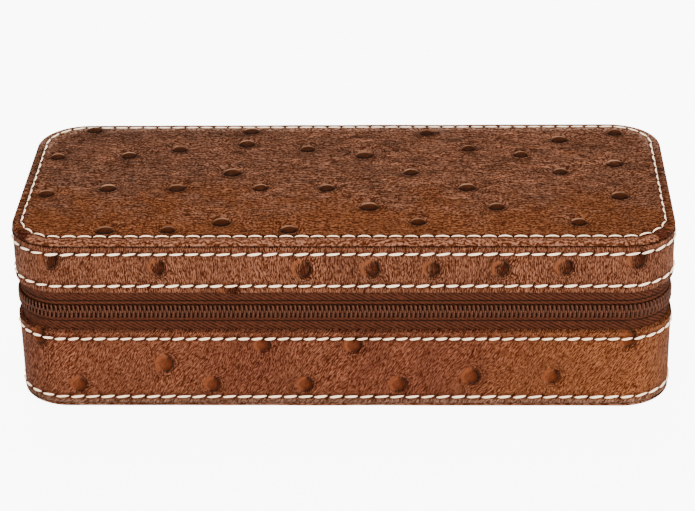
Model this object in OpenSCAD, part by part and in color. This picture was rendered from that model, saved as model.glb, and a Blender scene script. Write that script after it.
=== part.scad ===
// Zip-around travel case for four watches: two stitched leather shells on rigid walls,
// joined by a coil zip round three sides and a leather spine along the back.
// Origin: centre of the underside. +Z up, +X along the length, +Y towards the spine.
// All sizes in millimetres.

/* [Case] */
// Outside length, along X
case_l = 254; // [230:1:300]
// Outside depth, from the front face to the spine
case_w = 107; // [98:1:130]
// Outside height, closed
case_h = 73; // [68:1:90]
// Outside radius of the four upright corners
corner_r = 20; // [16:1:26]

/* [Split between base and lid] */
// Height of the leather rim of the base
base_rim_z = 34.6; // [32:0.1:38]
// Visible height of the zip between the two leather rims
zip_gap = 16; // [14.5:0.5:18]

/* [Leather] */
// Thickness of the outer leather
leather_t = 1.4; // [1.2:0.1:1.6]
// Height of the rolled edge of the top and bottom panels
panel_edge = 2.1; // [1.8:0.1:2.6]
// Thickness of the soft leather spine
spine_t = 0.9; // [0.7:0.1:1.1]

/* [Stitch grooves] */
// Distance of a panel's groove from the outer face
panel_stitch_in = 3.6; // [3.2:0.1:5]
// Distance of a band's outer groove from the top or the underside of the case
band_stitch_in = 5.4; // [4.6:0.1:7]
// Distance of a band's rim groove from its rim
rim_stitch_in = 3.5; // [2.6:0.1:5]
// Radius of the gouge that cuts a groove
groove_r = 0.9; // [0.7:0.1:1.2]
// Depth of a groove
groove_depth = 0.35; // [0.2:0.05:0.5]

/* [Walls and boards] */
// Thickness of the base's floor board
floor_t = 2.5; // [2:0.1:3.5]
// Thickness of the lid's top board
top_board_t = 2.5; // [2:0.1:3.5]
// Thickness of the lid's wall
lid_wall_t = 2.6; // [2.4:0.1:3.2]
// Thickness of the inner collar of the base
collar_t = 1.2; // [1:0.1:2]
// How far the collar stands up inside the lid
collar_rise = 3.9; // [2:0.1:6]
// Running gap between the collar and the lid's lining
collar_gap = 0.8; // [0.8:0.1:1.4]
// Thickness of the foam under the top panel
foam_t = 2; // [1.4:0.1:3]

/* [Lining] */
// Thickness of the suede on the walls
lining_t = 0.6; // [0.4:0.1:0.9]
// Thickness of the padded lining of the floor
floor_lining_t = 1; // [0.8:0.1:2]
// Thickness of the padded panel inside the lid
lid_pad_t = 3.4; // [2.5:0.1:5]

/* [Cells and cushions] */
// Thickness of a divider
divider_t = 3; // [2.4:0.1:4]
// Height of a divider above the floor lining
divider_h = 38.5; // [30:0.5:42]
// Width of a watch cushion, along X
cushion_w = 50; // [44:1:51]
// Depth of a watch cushion, along Y
cushion_d = 72; // [64:1:76]
// Height of a watch cushion
cushion_h = 42; // [36:0.5:43]
// Radius of a cushion's edges
cushion_r = 13; // [8:1:16]

/* [Zip] */
// Spacing of the coil's turns on one tape
tooth_pitch = 1.7; // [1.5:0.05:2]
// Width of one turn, along the zip
tooth_w = 0.6; // [0.5:0.05:0.7]
// Width of the closed pair of coils
chain_w = 5.8; // [5.4:0.1:6.2]
// How far the turns of one coil reach past the middle of the zip
tooth_mesh = 0.9; // [0.6:0.1:1.1]
// Height of the coil above the tape
coil_t = 1.4; // [1.2:0.1:1.4]
// Thickness of the woven tape
tape_t = 0.7; // [0.5:0.1:0.8]
// Slit between the two tapes
tape_slit = 2; // [2:0.1:2.4]
// How far tape and spine are tucked behind the leather
tuck = 6.4; // [5:0.1:7]

/* [Slider and pull] */
// Length of the slider, along the zip
slider_l = 10; // [9:0.5:11]
// Width of the slider's wide end
slider_w = 9.2; // [9.2:0.1:10.2]
// Width of the slider's narrow end
slider_tail_w = 8.4; // [8.4:0.1:9]
// Thickness of the slider's plates
plate_t = 1; // [0.8:0.1:1.2]
// Length of the pull tab from its crossbar
pull_l = 26; // [20:1:32]
// Width of the pull tab
pull_w = 7; // [6:0.5:8]
// Thickness of the pull tab
pull_t = 1.2; // [1:0.1:1.4]

/* [Hidden] */
$fn = 48;

// Gaps: between glued layers, at open seams, and round the slider
glue = 0.1;
seam = 0.2;
slide_gap = 0.35;
soft_gap = 0.3;

// Straight runs of the outline between the corner arcs
run_x = case_l - 2 * corner_r;
run_y = case_w - 2 * corner_r;

// Distances inwards from the outer face, layer by layer
wall_out = leather_t + glue;
rebate_out = wall_out + spine_t + glue;
lid_wall_in = wall_out + lid_wall_t;
lid_lining_out = lid_wall_in + glue;
lid_lining_in = lid_lining_out + lining_t;
skirt_out = lid_lining_in + collar_gap;
base_wall_in = skirt_out - glue;
collar_out = skirt_out + lining_t + glue;
collar_in = collar_out + collar_t;
lining_out = collar_in + glue;
cavity = lining_out + lining_t;

// Heights
lid_rim_z = base_rim_z + zip_gap;
mid_z = base_rim_z + zip_gap / 2;
floor_z = leather_t + glue;
floor_top_z = floor_z + floor_t;
wall_z = floor_top_z + glue;
cell_z = wall_z + floor_lining_t;
collar_z = lid_rim_z + collar_rise;
top_z = case_h - leather_t - glue;
board_top_z = top_z - foam_t - glue;
board_z = board_top_z - top_board_t;
pad_top_z = board_z - glue;
pad_z = pad_top_z - lid_pad_t;

// The coils end beside the back corners. The tapes run on round them, up to the spine.
zip_end_y = run_y / 2 - 3.5;
spine_half = run_x / 2 - 4;
slider_y = zip_end_y - slider_l / 2 - 2.5;
post_from = 1;
coil_end_right_y = slider_y + post_from - 0.4;
coil_end_left_y = zip_end_y - 2.8;
stop_l = 2;
coil_path_r = corner_r - coil_t / 2;
coil_corner = coil_path_r * PI / 2;

// Cells
cells = 4;
cell_l = (case_l - 2 * cavity - (cells - 1) * divider_t) / cells;
cell_pitch = cell_l + divider_t;

// Bail of the slider and window of the pull
bail_l = 6.6;
bail_w = 2.2;
bail_open_l = 4.8;
bail_t = 0.9;
bar_r = pull_t / 2;
bail_open_h = 2 * bar_r + 1;
bar_u = slide_gap + plate_t + bail_open_h / 2;
window_l = 4.6;
window_w = bail_w + 1;

// ---------- outline helpers ----------

// Rounded rectangle that lies inset from the case's outline, with true arcs.
module outline(inset) {
  r = corner_r - inset;
  square([case_l - 2 * inset, run_y], center = true);
  square([run_x, case_w - 2 * inset], center = true);
  for (sx = [-1, 1], sy = [-1, 1])
    translate([sx * run_x / 2, sy * run_y / 2]) circle(r);
}

module plate(inset, z0, z1) {
  translate([0, 0, z0]) linear_extrude(z1 - z0) outline(inset);
}

module ring(out, in, z0, z1) {
  translate([0, 0, z0]) linear_extrude(z1 - z0)
    difference() {
      outline(out);
      outline(in);
    }
}

// One straight run of a profile. The profile's x is the distance out from the face.
module run(angle, reach, from, to) {
  rotate([0, 0, angle]) translate([reach, (from + to) / 2, 0]) rotate([90, 0, 0])
    linear_extrude(to - from, center = true) children();
}

module corner(sx, sy, angle) {
  translate([sx * run_x / 2, sy * run_y / 2, 0]) rotate([0, 0, angle])
    rotate_extrude(angle = 90) translate([corner_r, 0]) children();
}

// Sweeps a profile all the way round the case.
module around() {
  run(0, case_l / 2, -run_y / 2, run_y / 2) children();
  run(90, case_w / 2, -run_x / 2, run_x / 2) children();
  run(180, case_l / 2, -run_y / 2, run_y / 2) children();
  run(270, case_w / 2, -run_x / 2, run_x / 2) children();
  corner(1, 1, 0) children();
  corner(-1, 1, 90) children();
  corner(-1, -1, 180) children();
  corner(1, -1, 270) children();
}

// Sweeps a profile along the back, between the places -x and x.
module along_back(x) {
  run(90, case_w / 2, -x, x) children();
}

// Sweeps a profile all the way round, apart from the back between -x and x.
module around_to_back(x) {
  run(0, case_l / 2, -run_y / 2, run_y / 2) children();
  run(180, case_l / 2, -run_y / 2, run_y / 2) children();
  run(270, case_w / 2, -run_x / 2, run_x / 2) children();
  run(90, case_w / 2, x, run_x / 2) children();
  run(90, case_w / 2, -run_x / 2, -x) children();
  corner(1, 1, 0) children();
  corner(-1, 1, 90) children();
  corner(-1, -1, 180) children();
  corner(1, -1, 270) children();
}

// Rectangle of a profile, from one depth and height to another.
module layer(out, in, z0, z1) {
  translate([-in, z0]) square([in - out, z1 - z0]);
}

// Tool that rounds a profile's corner, which points towards +x and +y.
module round_off(r) {
  difference() {
    translate([0, 0]) square(r + 1);
    circle(r);
    translate([-1, -1]) square([1, r + 2]);
    translate([-1, -1]) square([r + 2, 1]);
  }
}

module groove(x, z) {
  translate([x, z]) circle(groove_r);
}

// ---------- leather ----------

edge_r = 0.6;
roll_r = panel_edge - 0.3;

// Side band: grooves for both stitch rows, and a rounded edge at the rim and at the seam.
module band_profile(seam_z, rim_z, seam_stitch_z, rim_stitch_z) {
  up = rim_z > seam_z ? 1 : -1;
  difference() {
    layer(0, leather_t, min(seam_z, rim_z), max(seam_z, rim_z));
    groove(groove_r - groove_depth, seam_stitch_z);
    groove(groove_r - groove_depth, rim_stitch_z);
    translate([-edge_r, rim_z - up * edge_r]) scale([1, up]) round_off(edge_r);
    translate([-edge_r, seam_z + up * edge_r]) scale([1, -up]) round_off(edge_r);
  }
}

// Rolled border of the top panel; the bottom panel is its mirror image.
border_in = panel_stitch_in + 2.4;
module border_profile() {
  difference() {
    layer(0, border_in, case_h - panel_edge, case_h);
    layer(wall_out, border_in + 1, case_h - panel_edge - 1, case_h - leather_t);
    groove(-panel_stitch_in, case_h + groove_r - groove_depth);
    translate([-roll_r, case_h - roll_r]) round_off(roll_r);
    translate([-0.3, case_h - panel_edge + 0.3]) mirror([0, 1]) round_off(0.3);
  }
}

module panel_leather() {
  around() border_profile();
  plate(border_in, case_h - leather_t, case_h);
}

module lid_top_leather() {
  color("saddlebrown") panel_leather();
}

module base_bottom_leather() {
  color("saddlebrown") translate([0, 0, case_h]) mirror([0, 0, 1]) panel_leather();
}

module lid_side_leather() {
  color("sienna") around()
    band_profile(case_h - panel_edge - seam, lid_rim_z,
                 case_h - band_stitch_in, lid_rim_z + rim_stitch_in);
}

module base_side_leather() {
  color("sienna") around()
    band_profile(panel_edge + seam, base_rim_z, band_stitch_in, base_rim_z - rim_stitch_in);
}

// ---------- boards, walls and foam ----------

module base_floor_board() {
  color("tan") plate(wall_out, floor_z, floor_top_z);
}

module base_wall_core() {
  rebate_z = base_rim_z - tuck;
  color("tan") {
    ring(wall_out, base_wall_in, wall_z, rebate_z);
    ring(rebate_out, base_wall_in, rebate_z, base_rim_z - seam);
  }
}

module base_collar() {
  color("wheat") ring(collar_out, collar_in, wall_z, collar_z);
}

module lid_top_foam() {
  color("beige") plate(wall_out + glue, board_top_z + glue / 2, top_z);
}

module lid_top_board() {
  color("tan") plate(wall_out, board_z, board_top_z);
}

module lid_wall_core() {
  rebate_z = lid_rim_z + tuck;
  color("tan") {
    ring(wall_out, lid_wall_in, rebate_z, board_z - glue);
    ring(rebate_out, lid_wall_in, lid_rim_z + seam, rebate_z);
  }
}

// ---------- linings and dividers ----------

// Suede over both faces and the top of the collar.
module base_wall_lining() {
  color("saddlebrown") around()
    difference() {
      layer(skirt_out, cavity, wall_z, collar_z + glue + lining_t);
      layer(skirt_out + lining_t, lining_out, wall_z - 1, collar_z + glue);
    }
}

module base_floor_lining() {
  color("peru") plate(cavity + glue, wall_z, cell_z);
}

module lid_wall_lining() {
  color("peru") ring(lid_lining_out, lid_lining_in, lid_rim_z + seam, pad_top_z);
}

module lid_lining_pad() {
  color("peru") {
    plate(lid_lining_in + glue, pad_z + lid_pad_t / 3, pad_top_z);
    plate(lid_lining_in + glue + 1, pad_z, pad_z + lid_pad_t / 3);
  }
}

// A stiff card in suede, with its two upper corners rounded.
module divider(i) {
  w = case_w - 2 * cavity - 2 * glue;
  r = 6;
  x = (i - cells / 2) * cell_pitch;
  color("peru") translate([x, 0, cell_z + glue]) rotate([90, 0, 90])
    linear_extrude(divider_t, center = true) {
      translate([-w / 2, 0]) square([w, divider_h - r]);
      translate([-w / 2 + r, 0]) square([w - 2 * r, divider_h]);
      for (s = [-1, 1]) translate([s * (w / 2 - r), divider_h - r]) circle(r);
    }
}

// Foam pillow in a suede cover; a watch is strapped round it.
module watch_cushion(i) {
  x = (i - (cells + 1) / 2) * cell_pitch;
  color("peru") translate([x, 0, cell_z + soft_gap + cushion_h / 2])
    hull()
      for (sx = [-1, 1], sy = [-1, 1], sz = [-1, 1])
        translate([sx * (cushion_w / 2 - cushion_r), sy * (cushion_d / 2 - cushion_r),
                   sz * (cushion_h / 2 - cushion_r)])
          sphere(cushion_r, $fn = 24);
}

// ---------- zip ----------

// Half of the chain is drawn above the middle of the zip; side is 1 for the lid, -1 for the base.
module zip_tape(side) {
  color("saddlebrown") translate([0, 0, mid_z]) scale([1, 1, side])
    around_to_back(spine_half + seam)
      layer(wall_out, wall_out + tape_t, tape_slit / 2, zip_gap / 2 + tuck - seam);
}

bead_h = 0.6;
web_z = chain_w / 2 - bead_h;
coil_face = wall_out - 0.05;
tooth_chamfer = 0.2;
// How far a turn at a corner stays inside the bead's curved faces
tooth_inset = 0.05;

// Centres of the turns of one coil between two places along the zip; place 0 is mid front.
function turns(side, from, to) =
  let (shift = side > 0 ? 0.5 : 0,
       first = ceil((from + tooth_w / 2) / tooth_pitch - shift + 0.01),
       last = floor((to - tooth_w / 2) / tooth_pitch - shift - 0.01))
  [for (k = [first : 1 : last]) (k + shift) * tooth_pitch];

// Outline of one turn that reaches down from the height top, centred on s.
function turn_points(s, top) = [
  [s - tooth_w / 2, top],
  [s - tooth_w / 2, -tooth_mesh + tooth_chamfer],
  [s - tooth_w / 2 + tooth_chamfer, -tooth_mesh],
  [s + tooth_w / 2 - tooth_chamfer, -tooth_mesh],
  [s + tooth_w / 2, -tooth_mesh + tooth_chamfer],
  [s + tooth_w / 2, top]];

// Straight piece of a coil: an outer bead with the turns reaching down from it.
module rack(side, from, to) {
  polygon(concat([[from, chain_w / 2], [from, web_z]],
                 [for (s = turns(side, from, to)) each turn_points(s, web_z)],
                 [[to, web_z], [to, chain_w / 2]]));
}

// A coil's turns round a corner, whose first place along the zip is s0.
module corner_turns(side, s0) {
  for (s = turns(side, s0 - tooth_w, s0 + coil_corner + tooth_w))
    rotate([0, 0, (s - s0) / coil_path_r * 180 / PI])
      translate([corner_r - coil_face + tooth_inset, 0, 0]) rotate([90, 0, 90])
        linear_extrude(coil_t - 2 * tooth_inset) polygon(turn_points(0, web_z + bead_h / 2));
}

module zip_coil(side) {
  half = run_x / 2;
  side_s = half + coil_corner;
  right = coil_end_right_y + run_y / 2;
  left = coil_end_left_y + run_y / 2;
  color("maroon") translate([0, 0, mid_z]) scale([1, 1, side]) {
    translate([0, -case_w / 2 + coil_face, 0]) rotate([90, 0, 0])
      linear_extrude(coil_t) rack(side, -half, half);
    translate([case_l / 2 - coil_face, -run_y / 2, 0]) rotate([90, 0, 90])
      linear_extrude(coil_t) translate([-side_s, 0]) rack(side, side_s, side_s + right);
    translate([-case_l / 2 + coil_face, -run_y / 2, 0]) rotate([90, 0, -90])
      linear_extrude(coil_t) translate([side_s, 0]) rack(side, -side_s - left, -side_s);
    for (end = [-1, 1])
      translate([end * half, -run_y / 2, 0]) rotate([0, 0, end > 0 ? 270 : 180]) {
        rotate_extrude(angle = 90)
          translate([corner_r - coil_face, web_z]) square([coil_t, chain_w / 2 - web_z]);
        corner_turns(side, end > 0 ? half : -side_s);
      }
  }
}

// Clip on the edge of one tape, where the slider comes to rest.
module zip_top_stop(side) {
  color("goldenrod") translate([case_l / 2 - wall_out + 0.05, zip_end_y - 0.3 - stop_l, mid_z])
    scale([1, 1, side]) translate([0, 0, 0.3]) cube([1.3, stop_l, chain_w / 2 - 0.3]);
}

// Clip across both tapes at the far end of the zip.
module zip_bottom_stop() {
  color("goldenrod")
    translate([-case_l / 2 + wall_out - 0.05 - 1.3, zip_end_y - 0.3 - stop_l, mid_z - chain_w / 2])
      cube([1.3, stop_l, chain_w]);
}

// Outline of the slider's plates, wide end towards +Y, shrunk by e at its edges.
function slider_outline(e) =
  let (h = slider_l / 2, w = slider_w / 2 - e, t = slider_tail_w / 2 - e)
  [[-h + 1.2, -t], [h - 4, -w], [h - 1, -w], [h, -w + 1.2], [h, w - 1.2], [h - 1, w],
   [h - 4, w], [-h + 1.2, t], [-h, t - 1.2], [-h, -t + 1.2]];

module slider_plate(u, t) {
  translate([u, 0, 0]) rotate([90, 0, 90]) linear_extrude(t) polygon(slider_outline(0));
}

module zip_slider() {
  flange_in = chain_w / 2 + 0.45;
  flange_u = -wall_out + slide_gap;
  back_u = -wall_out - tape_t - slide_gap - plate_t;
  h = slider_l / 2;
  color("goldenrod") translate([case_l / 2, slider_y, mid_z]) {
    slider_plate(slide_gap, plate_t);
    slider_plate(back_u, plate_t);
    // flanges that keep the coils in
    translate([flange_u, 0, 0]) rotate([90, 0, 90])
      linear_extrude(slide_gap - flange_u + plate_t / 2)
        difference() {
          polygon(slider_outline(0));
          square([slider_l + 1, 2 * flange_in], center = true);
        }
    // wedge that parts the coils
    translate([back_u + plate_t / 2, 0, 0]) rotate([90, 0, 90])
      linear_extrude(slide_gap - back_u)
        polygon([[post_from, 0], [post_from + 1.4, 0.75], [h - 0.4, 0.5],
                 [h - 0.4, -0.5], [post_from + 1.4, -0.75]]);
    // bail that holds the pull
    translate([slide_gap + plate_t / 2, 0, 0])
      linear_extrude(bail_w, center = true)
        difference() {
          translate([0, -bail_l / 2]) square([plate_t / 2 + bail_open_h + bail_t, bail_l]);
          translate([-1, -bail_open_l / 2])
            square([plate_t / 2 + bail_open_h + 1, bail_open_l]);
          for (s = [-1, 1])
            translate([plate_t / 2 + bail_open_h + bail_t - 1, s * (bail_l / 2 - 1)])
              scale([1, s]) round_off(1);
        }
  }
}

module zip_pull() {
  neck_w = window_w + 2.4;
  tip_r = pull_w / 2;
  color("goldenrod") translate([case_l / 2 + bar_u, slider_y, mid_z]) {
    cylinder(h = neck_w, r = bar_r, center = true);
    rotate([90, 0, 90]) linear_extrude(pull_t, center = true)
      difference() {
        union() {
          translate([-window_l - 3, -neck_w / 2]) square([window_l + 3, neck_w]);
          polygon([[-window_l - 1, -neck_w / 2], [-window_l - 1, neck_w / 2],
                   [-window_l - 4, pull_w / 2], [-pull_l + tip_r, pull_w / 2],
                   [-pull_l + tip_r, -pull_w / 2], [-window_l - 4, -pull_w / 2]]);
          translate([-pull_l + tip_r, 0]) circle(tip_r);
        }
        translate([-window_l, -window_w / 2]) square([window_l - bar_r / 2, window_w]);
      }
  }
}

// ---------- spine ----------

module spine_leather() {
  color("sienna") along_back(spine_half)
    layer(wall_out, wall_out + spine_t, base_rim_z - tuck + seam, lid_rim_z - soft_gap);
}

module spine_lining() {
  color("peru") along_back(spine_half)
    layer(rebate_out, rebate_out + lining_t, base_rim_z, lid_rim_z - soft_gap);
}

// ---------- output ----------

base_bottom_leather();
base_side_leather();
base_floor_board();
base_wall_core();
base_collar();
base_wall_lining();
base_floor_lining();
divider(1);  // divider_1
divider(2);  // divider_2
divider(3);  // divider_3
zip_tape(-1);  // base_zip_tape
zip_coil(-1);  // base_zip_coil
zip_top_stop(-1);  // base_zip_top_stop
zip_bottom_stop();
spine_leather();
spine_lining();
lid_top_leather();
lid_side_leather();
lid_top_foam();
lid_top_board();
lid_wall_core();
lid_wall_lining();
lid_lining_pad();
zip_tape(1);  // lid_zip_tape
zip_coil(1);  // lid_zip_coil
zip_top_stop(1);  // lid_zip_top_stop
zip_slider();
zip_pull();
watch_cushion(1);  // watch_cushion_1
watch_cushion(2);  // watch_cushion_2
watch_cushion(3);  // watch_cushion_3
watch_cushion(4);  // watch_cushion_4
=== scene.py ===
"""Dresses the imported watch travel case: embossed leather, stitching, coil zip, suede and cushions."""

import math
import random

import bmesh
import bpy
import numpy as np
from bpy.props import FloatProperty, FloatVectorProperty, IntProperty, PointerProperty
from mathutils import Matrix, Vector, noise


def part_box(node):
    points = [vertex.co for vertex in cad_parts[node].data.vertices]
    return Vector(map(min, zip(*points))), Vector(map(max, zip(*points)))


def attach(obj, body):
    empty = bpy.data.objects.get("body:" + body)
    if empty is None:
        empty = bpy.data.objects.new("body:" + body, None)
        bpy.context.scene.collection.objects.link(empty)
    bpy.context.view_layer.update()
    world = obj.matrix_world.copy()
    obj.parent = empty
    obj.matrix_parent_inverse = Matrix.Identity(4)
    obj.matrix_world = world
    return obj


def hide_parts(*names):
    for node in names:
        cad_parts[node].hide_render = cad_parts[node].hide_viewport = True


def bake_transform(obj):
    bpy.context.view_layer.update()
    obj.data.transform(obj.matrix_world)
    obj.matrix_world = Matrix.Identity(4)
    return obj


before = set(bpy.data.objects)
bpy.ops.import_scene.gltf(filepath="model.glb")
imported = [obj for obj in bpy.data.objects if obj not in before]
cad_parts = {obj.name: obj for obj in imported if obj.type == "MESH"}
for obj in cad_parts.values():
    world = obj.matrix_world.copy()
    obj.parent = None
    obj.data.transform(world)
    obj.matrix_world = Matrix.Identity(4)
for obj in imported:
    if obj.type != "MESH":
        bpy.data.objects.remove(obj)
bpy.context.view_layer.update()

bl_info = {
    "name": "Watch travel case",
    "version": (1, 0, 0),
    "blender": (4, 5, 0),
    "location": "View3D > Sidebar > Watch case",
    "description": "Dresses a zip-around watch case in embossed leather, thread, zip and suede",
    "category": "Add Mesh",
}

MM = 0.001


def span(node, axis):
    """Lowest and highest place of a CAD node along an axis, in metres."""
    low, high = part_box(node)
    return low[axis], high[axis]


def inset_of(node):
    """How far the side of a CAD node lies in from the case's outer face."""
    return HALF_X - span(node, 0)[1]


# Places that the frame gives
HALF_X = span("lid_side_leather", 0)[1]
HALF_Y = span("lid_side_leather", 1)[1]
TOP_Z = span("lid_top_leather", 2)[1]
PANEL_EDGE = TOP_Z - span("lid_top_leather", 2)[0]
LID_RIM, LID_SEAM = span("lid_side_leather", 2)
BASE_SEAM, BASE_RIM = span("base_side_leather", 2)
MID_Z = (LID_RIM + BASE_RIM) / 2
TAPE_OUT = inset_of("lid_zip_tape")
TAPE_LOW, TAPE_HIGH = span("lid_zip_tape", 2)
SPINE_HALF = span("spine_leather", 0)[1]
SLIDER_LOW, SLIDER_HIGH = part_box("zip_slider")


# ---------- sizes and colours that a user may change ----------

def mm_size(name, default, description):
    """A length. Its default is in millimetres."""
    return FloatProperty(name=name, description=description, default=default * MM, unit="LENGTH")


def base_colour(name, default, description):
    """A base colour, linear."""
    return FloatVectorProperty(name=name, description=description, subtype="COLOR", size=3, default=default)


class CaseSizes(bpy.types.PropertyGroup):
    """Sizes of the leather work."""
    corner_r: mm_size("Corner radius", 20, "Outer radius of the upright corners")
    leather_t: mm_size("Leather thickness", 1.4, "Thickness of the outer leather")
    fineness: mm_size("Mesh step", 0.65, "Side of one face of the embossed leather")
    crown: mm_size("Crown", 0.5, "Height that the padded top stands up in its middle")
    quill_r: mm_size("Quill radius", 3.15, "Radius of a quill bump")
    panel_quill_r: mm_size("Panel quill radius", 3.0, "Radius of a quill bump on the panels")
    quill_h: mm_size("Quill height", 0.85, "Height of a quill bump")
    panel_quill_h: mm_size("Panel quill height", 1.05, "Height of a quill bump on the panels")
    seed: IntProperty(name="Seed", description="Seed of the leather's irregularities", default=11)


class StitchSizes(bpy.types.PropertyGroup):
    """Sizes of the saddle stitching."""
    thread_w: mm_size("Thread width", 0.98, "Width of the waxed thread")
    thread_h: mm_size("Thread height", 0.75, "Height of the thread over the leather")
    fill: FloatProperty(name="Fill", description="Length of a stitch as a share of the spacing",
                        default=0.92, min=0.5, max=1.0)
    panel_pitch: mm_size("Panel spacing", 5.9, "Stitch spacing on the panels")
    outer_pitch: mm_size("Outer spacing", 5.95, "Spacing of the rows near the panels")
    lid_rim_pitch: mm_size("Lid rim spacing", 5.6, "Spacing beside the lid's rim")
    base_rim_pitch: mm_size("Base rim spacing", 5.05, "Spacing beside the base's rim")
    panel_in: mm_size("Panel row", 3.6, "Distance of a panel's row from the outer face")
    outer_in: mm_size("Outer row", 5.4, "Distance of the outer rows from the panels' faces")
    rim_in: mm_size("Rim row", 3.5, "Distance of the rim rows from the rims")
    lean: FloatProperty(name="Lean", description="Slant of the stitches on the bands",
                        default=math.radians(7), subtype="ANGLE")


class ZipSizes(bpy.types.PropertyGroup):
    """Sizes of the coil zip."""
    pitch: mm_size("Turn spacing", 1.7, "Spacing of one coil's turns")
    chain_w: mm_size("Chain width", 5.8, "Width of the two closed coils")
    wire_r: mm_size("Wire radius", 0.4, "Radius of the nylon wire")
    coil_t: mm_size("Coil height", 1.4, "Height of a turn above the tape")
    mesh: mm_size("Overlap", 0.7, "How far a turn reaches past the zip's middle")


class InteriorSizes(bpy.types.PropertyGroup):
    """Sizes of the lining and the cushions."""
    suede_t: mm_size("Suede thickness", 0.6, "Thickness of the lining")
    pad_crown: mm_size("Pad crown", 1.3, "Swelling of the lid's pad between its seams")
    cushion_r: mm_size("Cushion edge", 11, "Rounding of a cushion before it swells")
    end_seam: mm_size("End seam", 6, "Distance of a cushion's seams from its ends")
    voxel: mm_size("Voxel", 4, "Side of a face of the simulated cushion")
    swell_cap: mm_size("Swelling limit", 6, "How far the simulation may move a point")


class Colours(bpy.types.PropertyGroup):
    """Base colours."""
    lid_band: base_colour("Lid band leather", (0.149, 0.048, 0.0195), "Saddle leather of the lid's side")
    base_band: base_colour("Base band leather", (0.152, 0.0448, 0.0172), "Saddle leather of the base's side")
    panel: base_colour("Panel leather", (0.107, 0.039, 0.0175), "Chestnut leather of the panels")
    amber: base_colour("Amber", (0.112, 0.0295, 0.0065), "Warm tone near the panel's front edge")
    # Painted sheen: this grey is the reflection of a glancing light, painted over the panel towards its back left.
    painted_sheen: base_colour("Painted sheen", (0.053, 0.0225, 0.012), "Grey painted sheen towards the panel's back")
    # Painted highlight: this pale tone is light painted on the bumps' lit tops and, dimmer, as a sheen along the
    # panel's back edge.
    painted_highlight: base_colour("Painted highlight", (0.34, 0.175, 0.105), "Pale tone of rubbed edges and bump tops")
    # Painted shade: this dark tone is shade painted into the bumps' creases on their steep side and into the needle
    # holes.
    painted_shade: base_colour("Painted shade", (0.012, 0.004, 0.002), "Dark painted shade in the bumps' creases and the needle holes")
    thread: base_colour("Thread", (1.0, 0.87, 0.68), "Waxed sewing thread")
    tape: base_colour("Zip tape", (0.055, 0.0158, 0.0072), "Woven tape of the zip")
    coil: base_colour("Zip coil", (0.07, 0.019, 0.0065), "Nylon of the coils")
    metal: base_colour("Zip metal", (0.4, 0.25, 0.11), "Antique brass of slider, pull and stops")
    cushion: base_colour("Cushion suede", (0.36, 0.2, 0.105), "Suede of the cushions")
    suede: base_colour("Suede", (0.25, 0.12, 0.055), "Suede of the linings, the dividers and the lid's pad")


def sizes():
    return bpy.context.scene.case_sizes


def stitches():
    return bpy.context.scene.case_stitches


def zip_sizes():
    return bpy.context.scene.case_zip


def interior():
    return bpy.context.scene.case_interior


def colours():
    return bpy.context.scene.case_colours


# ---------- the case's outline ----------

def core():
    """Half lengths of the rectangle whose corners are the corner arcs' centres."""
    r = sizes().corner_r
    return HALF_X - r, HALF_Y - r


def path_length(inset):
    """Length of the closed path that runs inset from the outer face."""
    cx, cy = core()
    return 4 * cx + 4 * cy + 2 * math.pi * (sizes().corner_r - inset)


def outline(s, inset=0.0):
    """Places and outward directions along a path, for distances s from the middle of the front.

    The path runs inset from the outer face, first towards +X.
    """
    cx, cy = core()
    r = sizes().corner_r - inset
    arc = r * math.pi / 2
    s = np.mod(np.asarray(s, float), path_length(inset))
    stretches = (
        ("run", cx, (0, -cy), (1, 0)), ("bend", arc, (cx, -cy), -0.5),
        ("run", 2 * cy, (cx, -cy), (0, 1)), ("bend", arc, (cx, cy), 0.0),
        ("run", 2 * cx, (cx, cy), (-1, 0)), ("bend", arc, (-cx, cy), 0.5),
        ("run", 2 * cy, (-cx, cy), (0, -1)), ("bend", arc, (-cx, -cy), 1.0),
        ("run", cx, (-cx, -cy), (1, 0)))
    place = np.zeros(s.shape + (2,))
    out = np.zeros(s.shape + (2,))
    start = 0.0
    for kind, length, corner, way in stretches:
        here = (s >= start) & (s <= start + length)
        t = s[here] - start
        if kind == "run":
            out[here] = (way[1], -way[0])
            place[here] = np.array(corner) + t[:, None] * np.array(way)
        else:
            angle = way * math.pi + t / r
            out[here] = np.stack((np.cos(angle), np.sin(angle)), axis=-1)
            place[here] = np.array(corner)
        start += length
    return place + out * r, out


def from_core(xy):
    """Distance from the outer face inwards, and the outward direction, of places in plan."""
    cx, cy = core()
    nearest = np.clip(xy, (-cx, -cy), (cx, cy))
    away = xy - nearest
    length = np.linalg.norm(away, axis=1)
    out = away / np.maximum(length, 1e-9)[:, None]
    return sizes().corner_r - length, out, nearest


def along(xy, inset):
    """Distance from the middle of the front, along the path that runs inset, of places in plan."""
    cx, cy = core()
    r = sizes().corner_r - inset
    arc = r * math.pi / 2
    _, out, nearest = from_core(xy)
    angle = np.mod(np.arctan2(out[:, 1], out[:, 0]) + math.pi / 2, 2 * math.pi)
    quarter = np.minimum((angle / (math.pi / 2) + 1e-6).astype(int), 3)
    starts = np.array((cx, cx + arc + 2 * cy, 3 * cx + 2 * arc + 2 * cy, 3 * cx + 3 * arc + 4 * cy))
    bend = starts[quarter] + (angle - quarter * math.pi / 2) * r
    x, y = nearest[:, 0], nearest[:, 1]
    front = np.mod(x, path_length(inset))
    right = starts[0] + arc + cy + y
    back = starts[1] + arc + cx - x
    left = starts[2] + arc + cy - y
    lengthways = np.where(out[:, 1] < 0, front, back)
    sideways = np.where(out[:, 0] > 0, right, left)
    return np.where(np.abs(out[:, 0]) < 1e-6, lengthways, np.where(np.abs(out[:, 1]) < 1e-6, sideways, bend))


# ---------- mesh helpers ----------

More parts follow.
